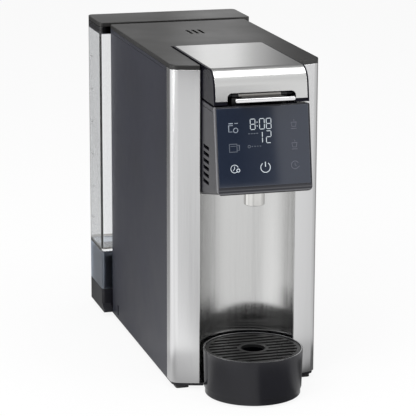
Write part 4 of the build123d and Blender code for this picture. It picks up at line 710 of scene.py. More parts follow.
@dataclass(frozen=True)
class SoftRubber(Finish):
    """Rubber or silicone with a dusty matte skin."""

    roughness: float = 0.7
    sheen: float = 0.15
    pebble_scale: float = 2200.0
    bump: float = 0.2
    bump_depth: float = 0.0001
    dust: float = 0.12
    tones: Point2 = (0.85, 1.15)
    gloss_span: Point2 = (-0.05, 0.08)
    dust_color: Color = (0.4, 0.39, 0.38)

    def surface(self, t: Tree) -> dict[str, Value]:
        """Build what feeds the shader.

        Args:
            t: The material's tree.

        Returns:
            The shader's inputs by name.
        """
        grain = t.group("moulded_grain", {"Pebble Scale": self.pebble_scale})
        dust = t.group("dust", {"Amount": self.dust})
        tone = t.mix(t.vary(grain["Tone"]), *(shade(self.color, part) for part in self.tones))
        return {"Base Color": t.mix(dust["Mask"], tone, self.dust_color),
                "Roughness": t.vary(grain["Tone"], *(self.roughness + part for part in self.gloss_span)),
                "Sheen Weight": self.sheen, "Normal": t.bump(grain["Height"], self.bump, self.bump_depth)}


@dataclass(frozen=True)
class LitMark(Finish):
    """Light shining through the dark glass, a little uneven."""

    strength: float
    roughness: float = 0.3
    unlit_tone: float = 0.3
    faint_tone: float = 0.8
    grid_scale: float = 1500.0

    def surface(self, t: Tree) -> dict[str, Value]:
        """Build what feeds the shader.

        Args:
            t: The material's tree.

        Returns:
            The shader's inputs by name.
        """
        glow = t.mix(t.vary(t.noise(t.where(), self.grid_scale)), shade(self.color, self.faint_tone), self.color)
        return {"Base Color": shade(self.color, self.unlit_tone), "Roughness": self.roughness, "Emission Color": glow,
                "Emission Strength": self.strength}


@dataclass(frozen=True)
class PrintedInk(Finish):
    """Pad-printed ink, a little broken up."""

    speck_scale: float = 1800.0
    speck_span: Point2 = (0.35, 0.65)
    speck_share: float = 0.3
    speck_tone: float = 0.75
    gloss_span: Point2 = (0.45, 0.6)

    def surface(self, t: Tree) -> dict[str, Value]:
        """Build what feeds the shader.

        Args:
            t: The material's tree.

        Returns:
            The shader's inputs by name.
        """
        speck = t.noise(t.where(), self.speck_scale, 3.0)
        broken = t.vary(speck, 0.0, self.speck_share, self.speck_span)
        return {"Base Color": t.mix(broken, self.color, shade(self.color, self.speck_tone)),
                "Roughness": t.vary(speck, *self.gloss_span)}


@dataclass(frozen=True)
class SolderMask(Finish):
    """Circuit board lacquer with copper tracks showing through."""

    track_color: Color
    track_scale: float = 90.0
    track_width: float = 0.04
    track_offset: float = 0.37
    pebble_scale: float = 1500.0
    gloss_span: Point2 = (0.25, 0.4)
    bump: float = 0.3
    bump_depth: float = 0.0001

    def surface(self, t: Tree) -> dict[str, Value]:
        """Build what feeds the shader.

        Args:
            t: The material's tree.

        Returns:
            The shader's inputs by name.
        """
        tracks = t.add("ShaderNodeTexBrick", {"Vector": t.where(), "Scale": self.track_scale,
                                              "Mortar Size": self.track_width}, offset=self.track_offset)
        grain = t.group("moulded_grain", {"Pebble Scale": self.pebble_scale})
        return {"Base Color": t.mix(tracks.outputs["Fac"], self.color, self.track_color),
                "Roughness": t.vary(grain["Tone"], *self.gloss_span),
                "Normal": t.bump(tracks.outputs["Fac"], self.bump, self.bump_depth)}


PANEL = MouldedPlastic("panel_moulding", (0.012, 0.0135, 0.026), roughness=0.4, pebble_scale=1400.0, bump=0.08,
                       dust=0.02, wear_and_glint=0.15)
REAR = MouldedPlastic("rear_moulding", (0.012, 0.0135, 0.022), roughness=0.5, pebble_scale=2600.0, bump=0.02,
                      dust=0.01, wear_and_glint=0.1)
COVER = MouldedPlastic("cover_moulding", (0.012, 0.0115, 0.011), roughness=0.38, pebble_scale=700.0, bump=0.25,
                       dust=0.015, wear_and_glint=0.06)
BLACK = MouldedPlastic("black_moulding", (0.005, 0.005, 0.0085), roughness=0.35, pebble_scale=1600.0, bump=0.06,
                       dust=0.01, wear_and_glint=0.1)
HEAD = MouldedPlastic("head_moulding", (0.011, 0.011, 0.0165), roughness=0.38, pebble_scale=1300.0, bump=0.1,
                      dust=0.01, wear_and_glint=0.15)
LID = MouldedPlastic("lid_moulding", (0.006, 0.0058, 0.0095), roughness=0.26, pebble_scale=1300.0, bump=0.05,
                     dust=0.01, wear_and_glint=0.15, edge_radius=0.0004, specular=0.06)
# Painted highlights on the bezel's left rim and across its lip, and painted shade on its foot.
BEZEL = BevelledPlastic("bezel_moulding", (0.014, 0.0145, 0.02), painted_highlight_color=(0.24, 0.24, 0.255), rim_x=0.0447,
                        bands=((204.0, 0.0), (205.7, 0.0), (206.2, 0.5), (207.0, 0.5), (207.6, 0.1), (208.8, 0.1),
                               (209.2, 0.3), (209.7, 0.3), (210.4, 0.13), (212.2, 0.1)))
TRAY = MouldedPlastic("tray_moulding", (0.005, 0.005, 0.0085), roughness=0.18, pebble_scale=1800.0, bump=0.03,
                      dust=0.01, wear_and_glint=0.12, edge_radius=0.0008)
GRILLE = MouldedPlastic("grille_moulding", (0.007, 0.007, 0.0073), roughness=0.5, pebble_scale=1800.0, bump=0.04,
                        dust=0.01, wear_and_glint=0.3, edge_radius=0.0004, specular=0.2)
INNER = MouldedPlastic("inner_moulding", (0.05, 0.05, 0.057), roughness=0.5)
WHITE = MouldedPlastic("white_moulding", (0.76, 0.76, 0.74), roughness=0.4, bump=0.05, wear_and_glint=0.1)
MESH = MouldedPlastic("filter_moulding", (0.78, 0.8, 0.82), roughness=0.4, pebble_scale=1700.0, bump=0.3)
PARTS = MouldedPlastic("component_moulding", (0.09, 0.09, 0.1), roughness=0.4, bump=0.1)
PAINTED = MouldedPlastic("plated_case", (0.3, 0.31, 0.33), roughness=0.3, bump=0.08, specular=0.8)
STEEL_UPRIGHT = BrushedSteel("steel_upright", (0.66, 0.66, 0.665), Grain.UPRIGHT, roughness=0.2, anisotropy=0.6,
                             contrast=0.6)
STEEL_NICHE = BrushedSteel("steel_niche", (0.64, 0.64, 0.635), Grain.UPRIGHT, roughness=0.2, anisotropy=1.0,
                           contrast=0.8)
STEEL_LID = BrushedSteel("steel_lid", (0.68, 0.68, 0.675), Grain.ACROSS, roughness=0.18, anisotropy=0.3,
                         contrast=0.6)
STEEL_PLAIN = PolishedMetal("steel_plain", (0.55, 0.55, 0.56), roughness=0.22)
STEEL_DARK = PolishedMetal("steel_dark", (0.06, 0.06, 0.065), roughness=0.35)
CHROME = PolishedMetal("bright_chrome", (0.66, 0.655, 0.64), roughness=0.05)
ALUMINIUM = PolishedMetal("cast_aluminium", (0.6, 0.61, 0.62), roughness=0.35)
PULL = PullHandle("pull_handle", (0.86, 0.86, 0.87), satin=(0.5, 0.49, 0.47), black=(0.006, 0.006, 0.007),
                  bar_rear=-43.6, neck_half=0.0203)
# The glass's edge colour is a painted highlight.
GLASS = DarkGlass("display_glass", (0.0155, 0.0215, 0.038), edge_glint_color=(0.1, 0.11, 0.14))
# Painted shade in the tank: grey end walls, a dark line above the floor and a near-black top band.
TANK = ClearTank("tank_clear", (0.93, 0.935, 0.94), end_shade_color=(0.74, 0.75, 0.76), frost_color=(0.47, 0.525, 0.61),
                 floor_shade_line_color=(0.4, 0.39, 0.37), rim_shade_color=(0.03, 0.03, 0.04), end_x=0.0792, floor_z=0.073)
SILICONE = SoftRubber("silicone", (0.5, 0.51, 0.52), roughness=0.5)
FOOT = SoftRubber("foot_rubber", (0.02, 0.02, 0.02))
BOARD = SolderMask("circuit_board", (0.02, 0.12, 0.06), track_color=(0.05, 0.24, 0.12))
LIT = LitMark("lit_mark", (0.85, 0.93, 1.0), strength=0.6)
LIT_MEDIUM = LitMark("lit_mark_medium", (0.7, 0.8, 0.95), strength=0.17)
LIT_FAINT = LitMark("lit_mark_faint", (0.26, 0.3, 0.38), strength=0.16)
# Painted light: the unlit symbols get a faint glow so that they show on the dark glass.
UNLIT_MARK_GLOW = LitMark("unlit_mark_glow", (0.2, 0.21, 0.27), strength=0.25)
INK = PrintedInk("level_ink", (0.85, 0.86, 0.86))


class Paintbox:
    """Builds each finish once and hands it out."""

    def __init__(self) -> None:
        """Build the shared node groups."""
        for build in (build_moulded_grain, build_edge_wear_and_glint, build_dust, build_brushed_streaks):
            build()
        self.built: dict[Finish, bpy.types.Material] = {}

    def get(self, finish: Finish) -> bpy.types.Material:
        """Hand out a finish's material, built on first use.

        Args:
            finish: The finish.

        Returns:
            Its material.
        """
        if finish not in self.built:
            self.built[finish] = finish.build()
        return self.built[finish]


# Drawing on the glass

MITRE_LIMIT = 0.5


def arc(centre: Point2, radius: float, start: float, end: float, steps: int) -> list[Point2]:
    """Find points on an arc.

    Args:
        centre: Its centre.
        radius: Its radius.
        start: First angle in degrees, from the right and counterclockwise.
        end: Last angle in degrees.
        steps: How many runs it has.

    Returns:
        The points in order.
    """
    angles = [math.radians(start + (end - start) * k / steps) for k in range(steps + 1)]
    return [(centre[0] + radius * math.cos(a), centre[1] + radius * math.sin(a)) for a in angles]


@dataclass
class Stroke:
    """A line drawn on the glass, in millimetres right of its middle and up from its lower edge."""

    points: list[Point2]
    width: float
    closed: bool = False

    def outline(self) -> list[tuple[Point2, Point2]]:
        """Find the line's two sides.

        Returns:
            The left and the right point at each of its points.
        """
        count = len(self.points)
        pairs = []
        for k, (u, v) in enumerate(self.points):
            before = self.points[k - 1] if self.closed or k > 0 else (u, v)
            after = self.points[(k + 1) % count] if self.closed or k < count - 1 else (u, v)
            along = Vector((after[0] - before[0], after[1] - before[1])).normalized()
            half = self.width / 2
            if 0 < k < count - 1 or self.closed:
                near = Vector((u - before[0], v - before[1])).normalized()
                half /= max(near.dot(along), MITRE_LIMIT)
            pairs.append(((u - along.y * half, v + along.x * half), (u + along.y * half, v - along.x * half)))
        return pairs


def ring(centre: Point2, radius: float, width: float, steps: int = 20) -> Stroke:
    """Return a closed round line."""
    return Stroke(arc(centre, radius, 0, 360, steps)[:-1], width, closed=True)


@dataclass
class GlassPlane:
    """The display's leaning face, for drawing on it."""

    lean: float = math.radians(9.4)
    rise: float = 0.00001
    depth: float = 0.00008

    def place(self, u: float, v: float, out: float) -> Vector:
        """Find where a point of the drawing stands.

        Args:
            u: Millimetres right of the glass's middle.
            v: Millimetres up from its lower edge.
            out: Metres out of the glass.

        Returns:
            Its place in the shared frame.
        """
        low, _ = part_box("display_glass")
        face = Vector((0.0, low.y, low.z)) + Vector((0.0, math.sin(self.lean), math.cos(self.lean))) * v * MM
        return face + Vector((u * MM, 0.0, 0.0)) + Vector((0.0, -math.cos(self.lean), math.sin(self.lean))) * out

    def polygon(self, bm: bmesh.types.BMesh, points: list[Point2]) -> None:
        """Raise a thin flat solid from the drawing's outline.

        Args:
            bm: The mesh it is added to.
            points: The outline.
        """
        upper = [bm.verts.new(self.place(u, v, self.rise + self.depth)) for u, v in points]
        lower = [bm.verts.new(self.place(u, v, self.rise)) for u, v in points]
        bm.faces.new(upper)
        bm.faces.new(lower[::-1])
        for k in range(len(points)):
            after = (k + 1) % len(points)
            bm.faces.new((upper[k], lower[k], lower[after], upper[after]))

    def stroke(self, bm: bmesh.types.BMesh, line: Stroke) -> None:
        """Raise a thin flat solid along a line.

        Args:
            bm: The mesh it is added to.
            line: The line.
        """
        pairs = line.outline()
        for a, b in zip(pairs, pairs[1:] + (pairs[:1] if line.closed else [])):
            self.polygon(bm, [a[0], a[1], b[1], b[0]])


SEGMENTS = {"0": "abcdef", "1": "bc", "2": "abged", "8": "abcdefg"}


@dataclass
class Digit:
    """A seven-segment numeral with its lower left corner, width and height in millimetres."""

    numeral: str
    u: float
    v: float
    width: float = 4.6
    height: float = 9.6
    half_bar: float = 0.29
    gap: float = 0.28

    def bars(self) -> list[list[Point2]]:
        """Find the numeral's lit bars.

        Returns:
            The outline of each bar.
        """
        left, right, base = self.u, self.u + self.width, self.v
        middle, top = base + self.height / 2, base + self.height
        ends = {"a": ((left, top), (right, top)), "b": ((right, middle), (right, top)),
                "c": ((right, base), (right, middle)), "d": ((left, base), (right, base)),
                "e": ((left, base), (left, middle)), "f": ((left, middle), (left, top)),
                "g": ((left, middle), (right, middle))}
        return [self.bar(*ends[letter]) for letter in SEGMENTS[self.numeral]]

    def bar(self, start: Point2, end: Point2) -> list[Point2]:
        """Draw a bar with pointed ends.

        Args:
            start: The corner it starts from.
            end: The corner it leads to.

        Returns:
            Its outline.
        """
        a, b = Vector(start), Vector(end)
        along = (b - a).normalized()
        across = Vector((-along.y, along.x)) * self.half_bar
        a, b = a + along * self.gap, b - along * self.gap
        inner_a, inner_b = a + along * self.half_bar, b - along * self.half_bar
        return [tuple(p) for p in (a, inner_a - across, inner_b - across, b, inner_b + across, inner_a + across)]


# Geometry Nodes


class GeometryTree(Tree):
    """A Geometry Nodes tree with named inputs, whose result becomes a plain mesh."""

    def __init__(self, name: str, inputs: dict[str, tuple[str, object]]) -> None:
        """Make the tree.

        Args:
            name: The tree's name.
            inputs: Input names with a socket type and a default. Material is added to them.
        """
        group = bpy.data.node_groups.new(name, "GeometryNodeTree")
        super().__init__(group)
        group.interface.new_socket("Geometry", in_out="OUTPUT", socket_type="NodeSocketGeometry")
        self.keys: dict[str, str] = {}
        for label, (kind, default) in inputs.items():
            made = group.interface.new_socket(label, in_out="INPUT", socket_type=kind)
            made.default_value = default
            self.keys[label] = made.identifier
        made = group.interface.new_socket("Material", in_out="INPUT", socket_type="NodeSocketMaterial")
        self.keys["Material"] = made.identifier
        self.given = self.add("NodeGroupInput").outputs

    def row(self, start: Socket, step: Socket) -> Socket:
        """Return a row of points, as many as the Count input says, from its start and its step."""
        return self.add("GeometryNodeMeshLine", {"Count": self.given["Count"], "Start Location": start,
                                                 "Offset": step}, mode="OFFSET").outputs[0]

    def close(self, instances: Socket) -> None:
        """End the tree by realizing its instances and setting their material.

        Args:
            instances: The instances.
        """
        real = self.add("GeometryNodeRealizeInstances", {0: instances}).outputs[0]
        painted = self.add("GeometryNodeSetMaterial", {"Geometry": real, "Material": self.given["Material"]})
        self.add("NodeGroupOutput", {0: painted.outputs[0]})

    def make_mesh(self, name: str, values: dict[str, object]) -> bpy.types.Mesh:
        """Run the tree once.

        Args:
            name: Name of the mesh.
            values: The inputs to set.

        Returns:
            The result as a plain mesh.
        """
        carrier = place_object(name + "_carrier", bpy.data.meshes.new(name + "_seed"))
        modifier = carrier.modifiers.new("build", "NODES")
        modifier.node_group = self.tree
        for label, value in values.items():
            modifier[self.keys[label]] = value
        graph = bpy.context.evaluated_depsgraph_get()
        mesh = bpy.data.meshes.new_from_object(carrier.evaluated_get(graph), depsgraph=graph)
        mesh.name = name
        bpy.data.objects.remove(carrier)
        return mesh


def level_marks_tree() -> GeometryTree:
    """Build the row of level marks up the tank's wall.

    Returns:
        A tree with inputs for the row's start, pitch and count, and one mark's size.
    """
    t = GeometryTree("level_marks", {
        "Start": (VECTOR, (0.0, 0.0, 0.0)), "Pitch": (FLOAT, 0.035), "Count": (INTEGER, 6),
        "Mark Size": (VECTOR, (0.001, 0.001, 0.001))})
    row = t.row(t.given["Start"], t.vector(z=t.given["Pitch"]))
    mark = t.add("GeometryNodeMeshCube", {"Size": t.given["Mark Size"]}).outputs[0]
    t.close(t.add("GeometryNodeInstanceOnPoints", {"Points": row, "Instance": mark}).outputs[0])
    return t


def coil_tree() -> GeometryTree:
    """Build an open coil spring that stands on its first turn.

    Returns:
        A tree with inputs for the coil's foot, radius, wire, height and turns.
    """
    t = GeometryTree("coil", {
        "Foot": (VECTOR, (0.0, 0.0, 0.0)), "Radius": (FLOAT, 0.004), "Wire": (FLOAT, 0.0004),
        "Height": (FLOAT, 0.01), "Turns": (FLOAT, 6.0)})
    given = t.given
    path = t.add("GeometryNodeCurveSpiral", {
        "Resolution": 32, "Rotations": given["Turns"], "Start Radius": given["Radius"],
        "End Radius": given["Radius"], "Height": given["Height"]}).outputs[0]
    wire = t.add("GeometryNodeCurvePrimitiveCircle", {"Resolution": 12, "Radius": given["Wire"]}).outputs[0]
    tube = t.add("GeometryNodeCurveToMesh", {"Curve": path, "Profile Curve": wire, "Fill Caps": True}).outputs[0]
    t.close(t.add("GeometryNodeTransform", {"Geometry": tube, "Translation": given["Foot"]}).outputs[0])
    return t


def grille_ribs_tree() -> GeometryTree:
    """Build the rounded ribs that top the bars of the drip grille, on one side of its middle.

    Returns:
        A tree with inputs for the grille's radii, the ribs' pitch, count and size, and the side.
    """
    t = GeometryTree("grille_ribs", {
        "Centre": (VECTOR, (0.0, 0.0, 0.0)), "Pitch": (FLOAT, 0.0083), "Count": (INTEGER, 11),
        "Outer Radius": (FLOAT, 0.04), "Pad Radius": (FLOAT, 0.015), "Half Width": (FLOAT, 0.002),
        "Rise": (FLOAT, 0.0005), "Side": (FLOAT, 1.0)})
    given = t.given
    reach = t.math("MULTIPLY", t.math("MULTIPLY", t.math("SUBTRACT", given["Count"], 1.0), given["Pitch"]), -0.5)
    row = t.row(t.vector(y=reach), t.vector(y=given["Pitch"]))
    y = t.parts(t.add("GeometryNodeInputPosition").outputs[0])[1]

    def chord(radius: Socket) -> Socket:
        """Return half the chord of a circle at a row's place."""
        rest = t.math("SUBTRACT", t.math("MULTIPLY", radius, radius), t.math("MULTIPLY", y, y))
        return t.math("SQRT", t.math("MAXIMUM", rest, 0.0))

    outer, inner = chord(given["Outer Radius"]), chord(given["Pad Radius"])
    length = t.math("SUBTRACT", outer, inner)
    middle = t.math("MULTIPLY", t.math("MULTIPLY", t.math("ADD", outer, inner), 0.5), given["Side"])
    shift = t.combine("ADD", t.vector(x=middle), given["Centre"])
    placed = t.add("GeometryNodeSetPosition", {"Geometry": row, "Offset": shift}).outputs[0]
    bar = t.add("GeometryNodeMeshCylinder", {"Vertices": 16, "Radius": 1.0, "Depth": 1.0}).outputs[0]
    lying = t.add("GeometryNodeTransform", {"Geometry": bar, "Rotation": (0.0, math.pi / 2, 0.0)}).outputs[0]
    size = t.vector(1.0, given["Half Width"], given["Rise"])
    sized = t.add("GeometryNodeTransform", {"Geometry": lying, "Scale": size}).outputs[0]
    ribs = t.add("GeometryNodeInstanceOnPoints", {"Points": placed, "Instance": sized,
                                                  "Scale": t.vector(length, 1.0, 1.0)})
    t.close(ribs.outputs[0])
    return t


# Sub-assemblies


@dataclass
class Assembly:
    """What every sub-assembly shares: the paintbox, the frame's nodes, and how pieces are dressed and kept."""

    paint: Paintbox
    nodes: dict[str, bpy.types.Object]

    def build(self) -> None:
        """Dress and make what belongs to the sub-assembly."""
        raise NotImplementedError

    def dress(self, finish: Finish, *names: str) -> None:
        """Give carried-over nodes a finish.

        Args:
            finish: The finish to give.
            names: Which nodes get it.
        """
        for name in names:
            materials = self.nodes[name].data.materials
            materials.clear()
            materials.append(self.paint.get(finish))

    def keep(self, name: str, mesh: bpy.types.Mesh, body: str, slot: str | None = None) -> None:
        """Put a finished mesh into the scene as a piece that rides on a body.

        Args:
            name: The piece's name.
            mesh: Its mesh, with its place in its vertices and its material set.
            body: The CAD body it moves with.
            slot: Not used.
        """
        piece = place_object(name, mesh)
        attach(piece, body)
        log.info("piece %s rides on %s with %d faces", name, body, len(mesh.polygons))


@dataclass
class BodyShell(Assembly):
    """Side panels, steel pilasters and niche, cover, frame, rear panel, base and feet."""

    def build(self) -> None:
        """Dress the shell's nodes."""
        self.dress(PANEL, "left_side_panel", "right_side_panel")
        self.dress(REAR, "rear_panel")
        self.dress(COVER, "top_cover")
        self.dress(STEEL_UPRIGHT, "left_pilaster_skin", "right_pilaster_skin")
        self.dress(STEEL_NICHE, "niche_panel")
        self.dress(BLACK, "front_frame", "base_plate", "cord_gland")
        self.dress(FOOT, "rubber_feet")
        self.dress(STEEL_PLAIN, "case_screws")


@dataclass
class Display(Assembly):
    """Touch glass with its lit numerals and symbols, all generic."""

    plane: GlassPlane

    def build(self) -> None:
        """Dress the glass and draw its marks."""
        self.dress(GLASS, "display_glass")
        self.dress(BOARD, "display_board")
        self.draw("clock_numerals", LIT, self.colon(), self.numerals())
        self.draw("lit_symbols", LIT, self.power_symbol() + self.timer_symbol())
        self.draw("carafe_mark", LIT_MEDIUM, self.carafe_symbol())
        self.draw("cup_symbols", LIT_FAINT, self.mug_symbol() + self.strength_symbol())
        # The unlit symbols glow faintly: painted light, with no lamp behind them.
        self.draw("dim_symbols", UNLIT_MARK_GLOW, self.dim_symbols())

    def draw(self, name: str, finish: Finish, strokes: list[Stroke],
             outlines: list[list[Point2]] | None = None) -> None:
        """Raise a set of marks on the glass as one piece.

        Args:
            name: The piece's name.
            finish: Its finish.
            strokes: Lines.
            outlines: Closed shapes, if it has any.
        """
        bm = bmesh.new()
        for outline in outlines or []:
            self.plane.polygon(bm, outline)
        for line in strokes:
            self.plane.stroke(bm, line)
        bmesh.ops.recalc_face_normals(bm, faces=bm.faces)
        mesh = bpy.data.meshes.new(name)
        bm.to_mesh(mesh)
        bm.free()
        mesh.materials.append(self.paint.get(finish))
        self.keep(name, mesh, "machine")

    def numerals(self) -> list[list[Point2]]:
        """Write the time and the cup size.

        Returns:
            The outline of each bar.
        """
        digits = [Digit("8", -12.2, 52.4), Digit("0", -3.3, 52.4), Digit("8", 3.2, 52.4),
                  Digit("1", -5.4, 39.6, width=4.4, height=10.4), Digit("2", 2.8, 39.4, height=11.0)]
        return [bar for digit in digits for bar in digit.bars()]

    def colon(self) -> list[Stroke]:
        """Return the two dots between hours and minutes."""
        return [Stroke([(-5.6, v - 0.4), (-5.6, v + 0.4)], 0.8) for v in (55.4, 59.0)]

    def power_symbol(self) -> list[Stroke]:
        """Return the broken ring with a bar."""
        return [Stroke(arc((0.9, 16.8), 4.6, 125, 415, 40), 0.65), Stroke([(0.9, 17.4), (0.9, 22.0)], 0.75)]

    def timer_symbol(self) -> list[Stroke]:
        """Draw the clock face with a small ring beside it.

        Returns:
            Its lines.
        """
        return [Stroke(arc((-28.9, 17.0), 3.6, 20, 320, 32), 0.5),
                Stroke([(-28.9, 19.3), (-28.9, 17.0), (-30.4, 15.4)], 0.5),
                ring((-25.4, 15.4), 1.45, 0.65)]

    def carafe_symbol(self) -> list[Stroke]:
        """Draw a jug with a cup in front of it.

        Returns:
            Its lines.
        """
        return [Stroke([(-28.9, 57.0), (-33.0, 57.0), (-33.0, 51.2), (-29.6, 51.2)], 0.55),
                ring((-26.4, 52.4), 2.1, 0.6),
                Stroke([(-33.0, 58.8), (-28.9, 58.8)], 0.9), Stroke([(-27.4, 58.8), (-24.0, 58.8)], 0.55)]

    def mug_symbol(self) -> list[Stroke]:
        """Draw a wide mug.

        Returns:
            Its lines.
        """
        return [Stroke([(-33.0, 39.8), (-25.8, 39.8), (-25.8, 32.6), (-33.0, 32.6)], 0.6, closed=True),
                Stroke([(-32.0, 37.9), (-26.8, 37.9)], 0.45),
                Stroke([(-25.4, 38.6), (-23.5, 38.6), (-23.5, 33.9), (-25.4, 33.9)], 0.55)]

    def strength_symbol(self) -> list[Stroke]:
        """Draw short bars beside the cup size, and a ring with dots below it.

        Returns:
            Their lines.
        """
        bars = [Stroke([(-14.6 + 2.6 * k, 48.6), (-12.8 + 2.6 * k, 48.6)], 0.7) for k in range(4)]
        dots = [Stroke([(-11.6 + 2.6 * k, 36.8), (-10.4 + 2.6 * k, 36.8)], 0.8) for k in range(4)]
        return bars + dots + [ring((-14.0, 36.8), 1.2, 0.5, 18)]

    def dim_symbols(self) -> list[Stroke]:
        """Draw the three unlit symbols down the right side.

        Returns:
            Their lines.
        """
        cups = []
        for v in (50.9, 31.9):
            cups += [Stroke([(27.2, v + 6.2), (28.0, v + 2.2), (31.4, v + 2.2), (32.2, v + 6.2)], 0.55, closed=True),
                     Stroke([(27.0, v + 0.4), (32.4, v + 0.4)], 0.6),
                     Stroke([(29.7, v + 7.2), (30.3, v + 8.0), (29.5, v + 8.8)], 0.45)]
        return cups + [Stroke(arc((29.6, 17.5), 3.6, 30, 330, 32), 0.6),
                       Stroke([(29.6, 19.6), (29.6, 17.5), (31.0, 16.6)], 0.5),
                       Stroke([(33.0, 15.2), (33.9, 16.4)], 0.5)]


@dataclass
class BrewHead(Assembly):
    """Head housing, bezel, nozzle, pod holder and what hangs under the deck."""

    def build(self) -> None:
        """Dress the head's nodes and build its display."""
        self.dress(HEAD, "head_housing")
        self.dress(BEZEL, "head_bezel")
        self.dress(CHROME, "nozzle")
        self.dress(INNER, "brew_chamber", "pod_holder", "funnel")
        self.dress(STEEL_PLAIN, "lower_needle", "lid_hinge_pin")
        Display(self.paint, self.nodes, GlassPlane()).build()


@dataclass
class LidAssembly(Assembly):
    """Lid with its steel skin, pull handle, latch and needle."""

    def build(self) -> None:
        """Dress the lid's nodes."""
        self.dress(STEEL_LID, "lid_skin")
        self.dress(LID, "lid_body")
        self.dress(INNER, "lid_liner")
        self.dress(PULL, "latch_handle")
        self.dress(STEEL_DARK, "latch_pin", "latch_spring")
        self.dress(STEEL_PLAIN, "upper_needle")
        self.dress(SILICONE, "needle_seal", "lid_water_tube")


@dataclass
class WaterTank(Assembly):
    """Clear tank with its marks, lid, valve, and the pedestal it stands on, with sizes in millimetres."""

    mark_y: float = 314.0
    lowest_mark_z: float = 98.4
    mark_pitch: float = 35.48
    mark_count: int = 6
    mark_size: Point3 = (0.3, 7.0, 1.5)
    mark_depth: float = 0.3
    spring_wire: float = 0.4
    spring_turns: float = 6.0

    def build(self) -> None:
        """Dress the tank's nodes, print its marks and wind its valve's spring."""
        self.dress(TANK, "tank_shell")
        self.dress(COVER, "tank_lid")
        self.dress(BLACK, "tank_lid_skirt", "tank_pedestal")
        self.dress(SILICONE, "tank_lid_seal", "dock_seal")
        self.dress(INNER, "valve_body", "dock_port")
        self.dress(WHITE, "valve_poppet")
        self.dress(MESH, "tank_filter")
        self.print_marks()
        self.wind_valve_spring()

    def print_marks(self) -> None:
        """Set the level marks just under the outer face of the tank's left wall."""
        low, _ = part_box("tank_shell")
        start = row_point(0.0, self.mark_y, self.lowest_mark_z)
        start.x = low.x + self.mark_depth * MM
        self.keep("level_marks", level_marks_tree().make_mesh("level_marks", {
            "Start": tuple(start), "Pitch": self.mark_pitch * MM, "Count": self.mark_count,
            "Mark Size": tuple(s * MM for s in self.mark_size), "Material": self.paint.get(INK)}), "tank")

    def wind_valve_spring(self) -> None:
        """Wind the valve's spring as a fixed coil in the CAD spring's place; the real spring shortens as the poppet
        rises.
        """
        low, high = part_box("valve_spring")
        wire = self.spring_wire * MM
        foot = Vector(((low.x + high.x) / 2, (low.y + high.y) / 2, low.z + wire))
        height = high.z - low.z - 2 * wire
        spring = place_object("valve_coil", coil_tree().make_mesh("valve_coil", {
            "Foot": tuple(foot), "Radius": (high.x - low.x) / 2 - wire, "Wire": wire, "Height": height,
            "Turns": self.spring_turns, "Material": self.paint.get(STEEL_PLAIN)}))
        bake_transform(spring)
        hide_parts("valve_spring")
        log.info("piece valve_coil bends between tank and valve with %d faces", len(spring.data.polygons))


@dataclass
class DripTray(Assembly):
    """Round tray and its ribbed grille, with sizes in millimetres."""

    pitch: float = 8.3
    rib_count: int = 9
    half_width: float = 1.9
    rise: float = 0.55
    rim: float = 4.2
    pad_radius: float = 15.6

    def build(self) -> None:
        """Dress the tray and top the grille's bars with rounded ribs."""
        self.dress(TRAY, "tray_cup")
        self.dress(GRILLE, "drip_grille")
        low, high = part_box("drip_grille")
        centre = ((low.x + high.x) / 2, (low.y + high.y) / 2, high.z)
        tree = grille_ribs_tree()
        for side, name in ((1.0, "grille_ribs_right"), (-1.0, "grille_ribs_left")):
            self.keep(name, tree.make_mesh(name, {
                "Centre": centre, "Pitch": self.pitch * MM, "Count": self.rib_count,
                "Outer Radius": (high.x - low.x) / 2 - self.rim * MM, "Pad Radius": self.pad_radius * MM,
                "Half Width": self.half_width * MM, "Rise": self.rise * MM, "Side": side,
                "Material": self.paint.get(GRILLE)}), "grille", slot="tray_plastic")


@dataclass
class InnerWorks(Assembly):
    """Pumps, heater, hoses, meter and boards inside the body."""

    def build(self) -> None:
        """Dress the inner nodes."""
        self.dress(WHITE, "flow_meter", "water_pump", "thermal_fuse")
        self.dress(FOOT, "pump_mount")
        self.dress(PAINTED, "pump_motor")
        self.dress(INNER, "air_pump")
        self.dress(ALUMINIUM, "heater")
        self.dress(STEEL_PLAIN, "heater_bracket", "thermostat")
        self.dress(SILICONE, "inlet_hose", "pump_hose", "heater_hose", "brew_hose")
        self.dress(BOARD, "power_board")
        self.dress(PARTS, "board_parts")
        self.dress(BLACK, "display_cable")


# Studio

WHITE_LIGHT = (1.0, 1.0, 1.0)


def studio_sheet(name: str, corners: list[Vector]) -> tuple[bpy.types.Object, Tree]:
    """Make a flat sheet with a material of its own.

    Args:
        name: Name of the sheet and its material.
        corners: Its four corners in order.

    Returns:
        The sheet and its material's tree.
    """
    mesh = bpy.data.meshes.new(name)
    mesh.from_pydata(corners, [], [(0, 1, 2, 3)])
    material, t = new_material(name)
    mesh.materials.append(material)
    return place_object(name, mesh), t


def lay_glow(t: Tree, share: Socket, under: Socket, level: Socket) -> None:
    """End a sheet's tree with a white glow over its plain shader.

    Args:
        t: The tree.
        share: How much of the shader the glow covers.
        under: The plain shader.
        level: How bright the glow is.
    """
    glow = t.add("ShaderNodeEmission", {"Color": WHITE_LIGHT, "Strength": level}).outputs[0]
    mixed = t.add("ShaderNodeMixShader", {0: share, 1: under, 2: glow}).outputs[0]
    t.add("ShaderNodeOutputMaterial", {"Surface": mixed})


def mirrored(t: Tree, path: bpy.types.bpy_prop_collection) -> Socket:
    """Return 1 where a ray was mirrored by a surface, and 0 where it came straight or through clear walls."""
    return t.math("SUBTRACT", path["Is Glossy Ray"], path["Is Transmission Ray"], clamp=True)


def straight(t: Tree, path: bpy.types.bpy_prop_collection) -> Socket:
    """Return 1 where a ray came straight from the camera or through clear walls."""
    return t.math("ADD", path["Is Camera Ray"], path["Is Transmission Ray"], clamp=True)


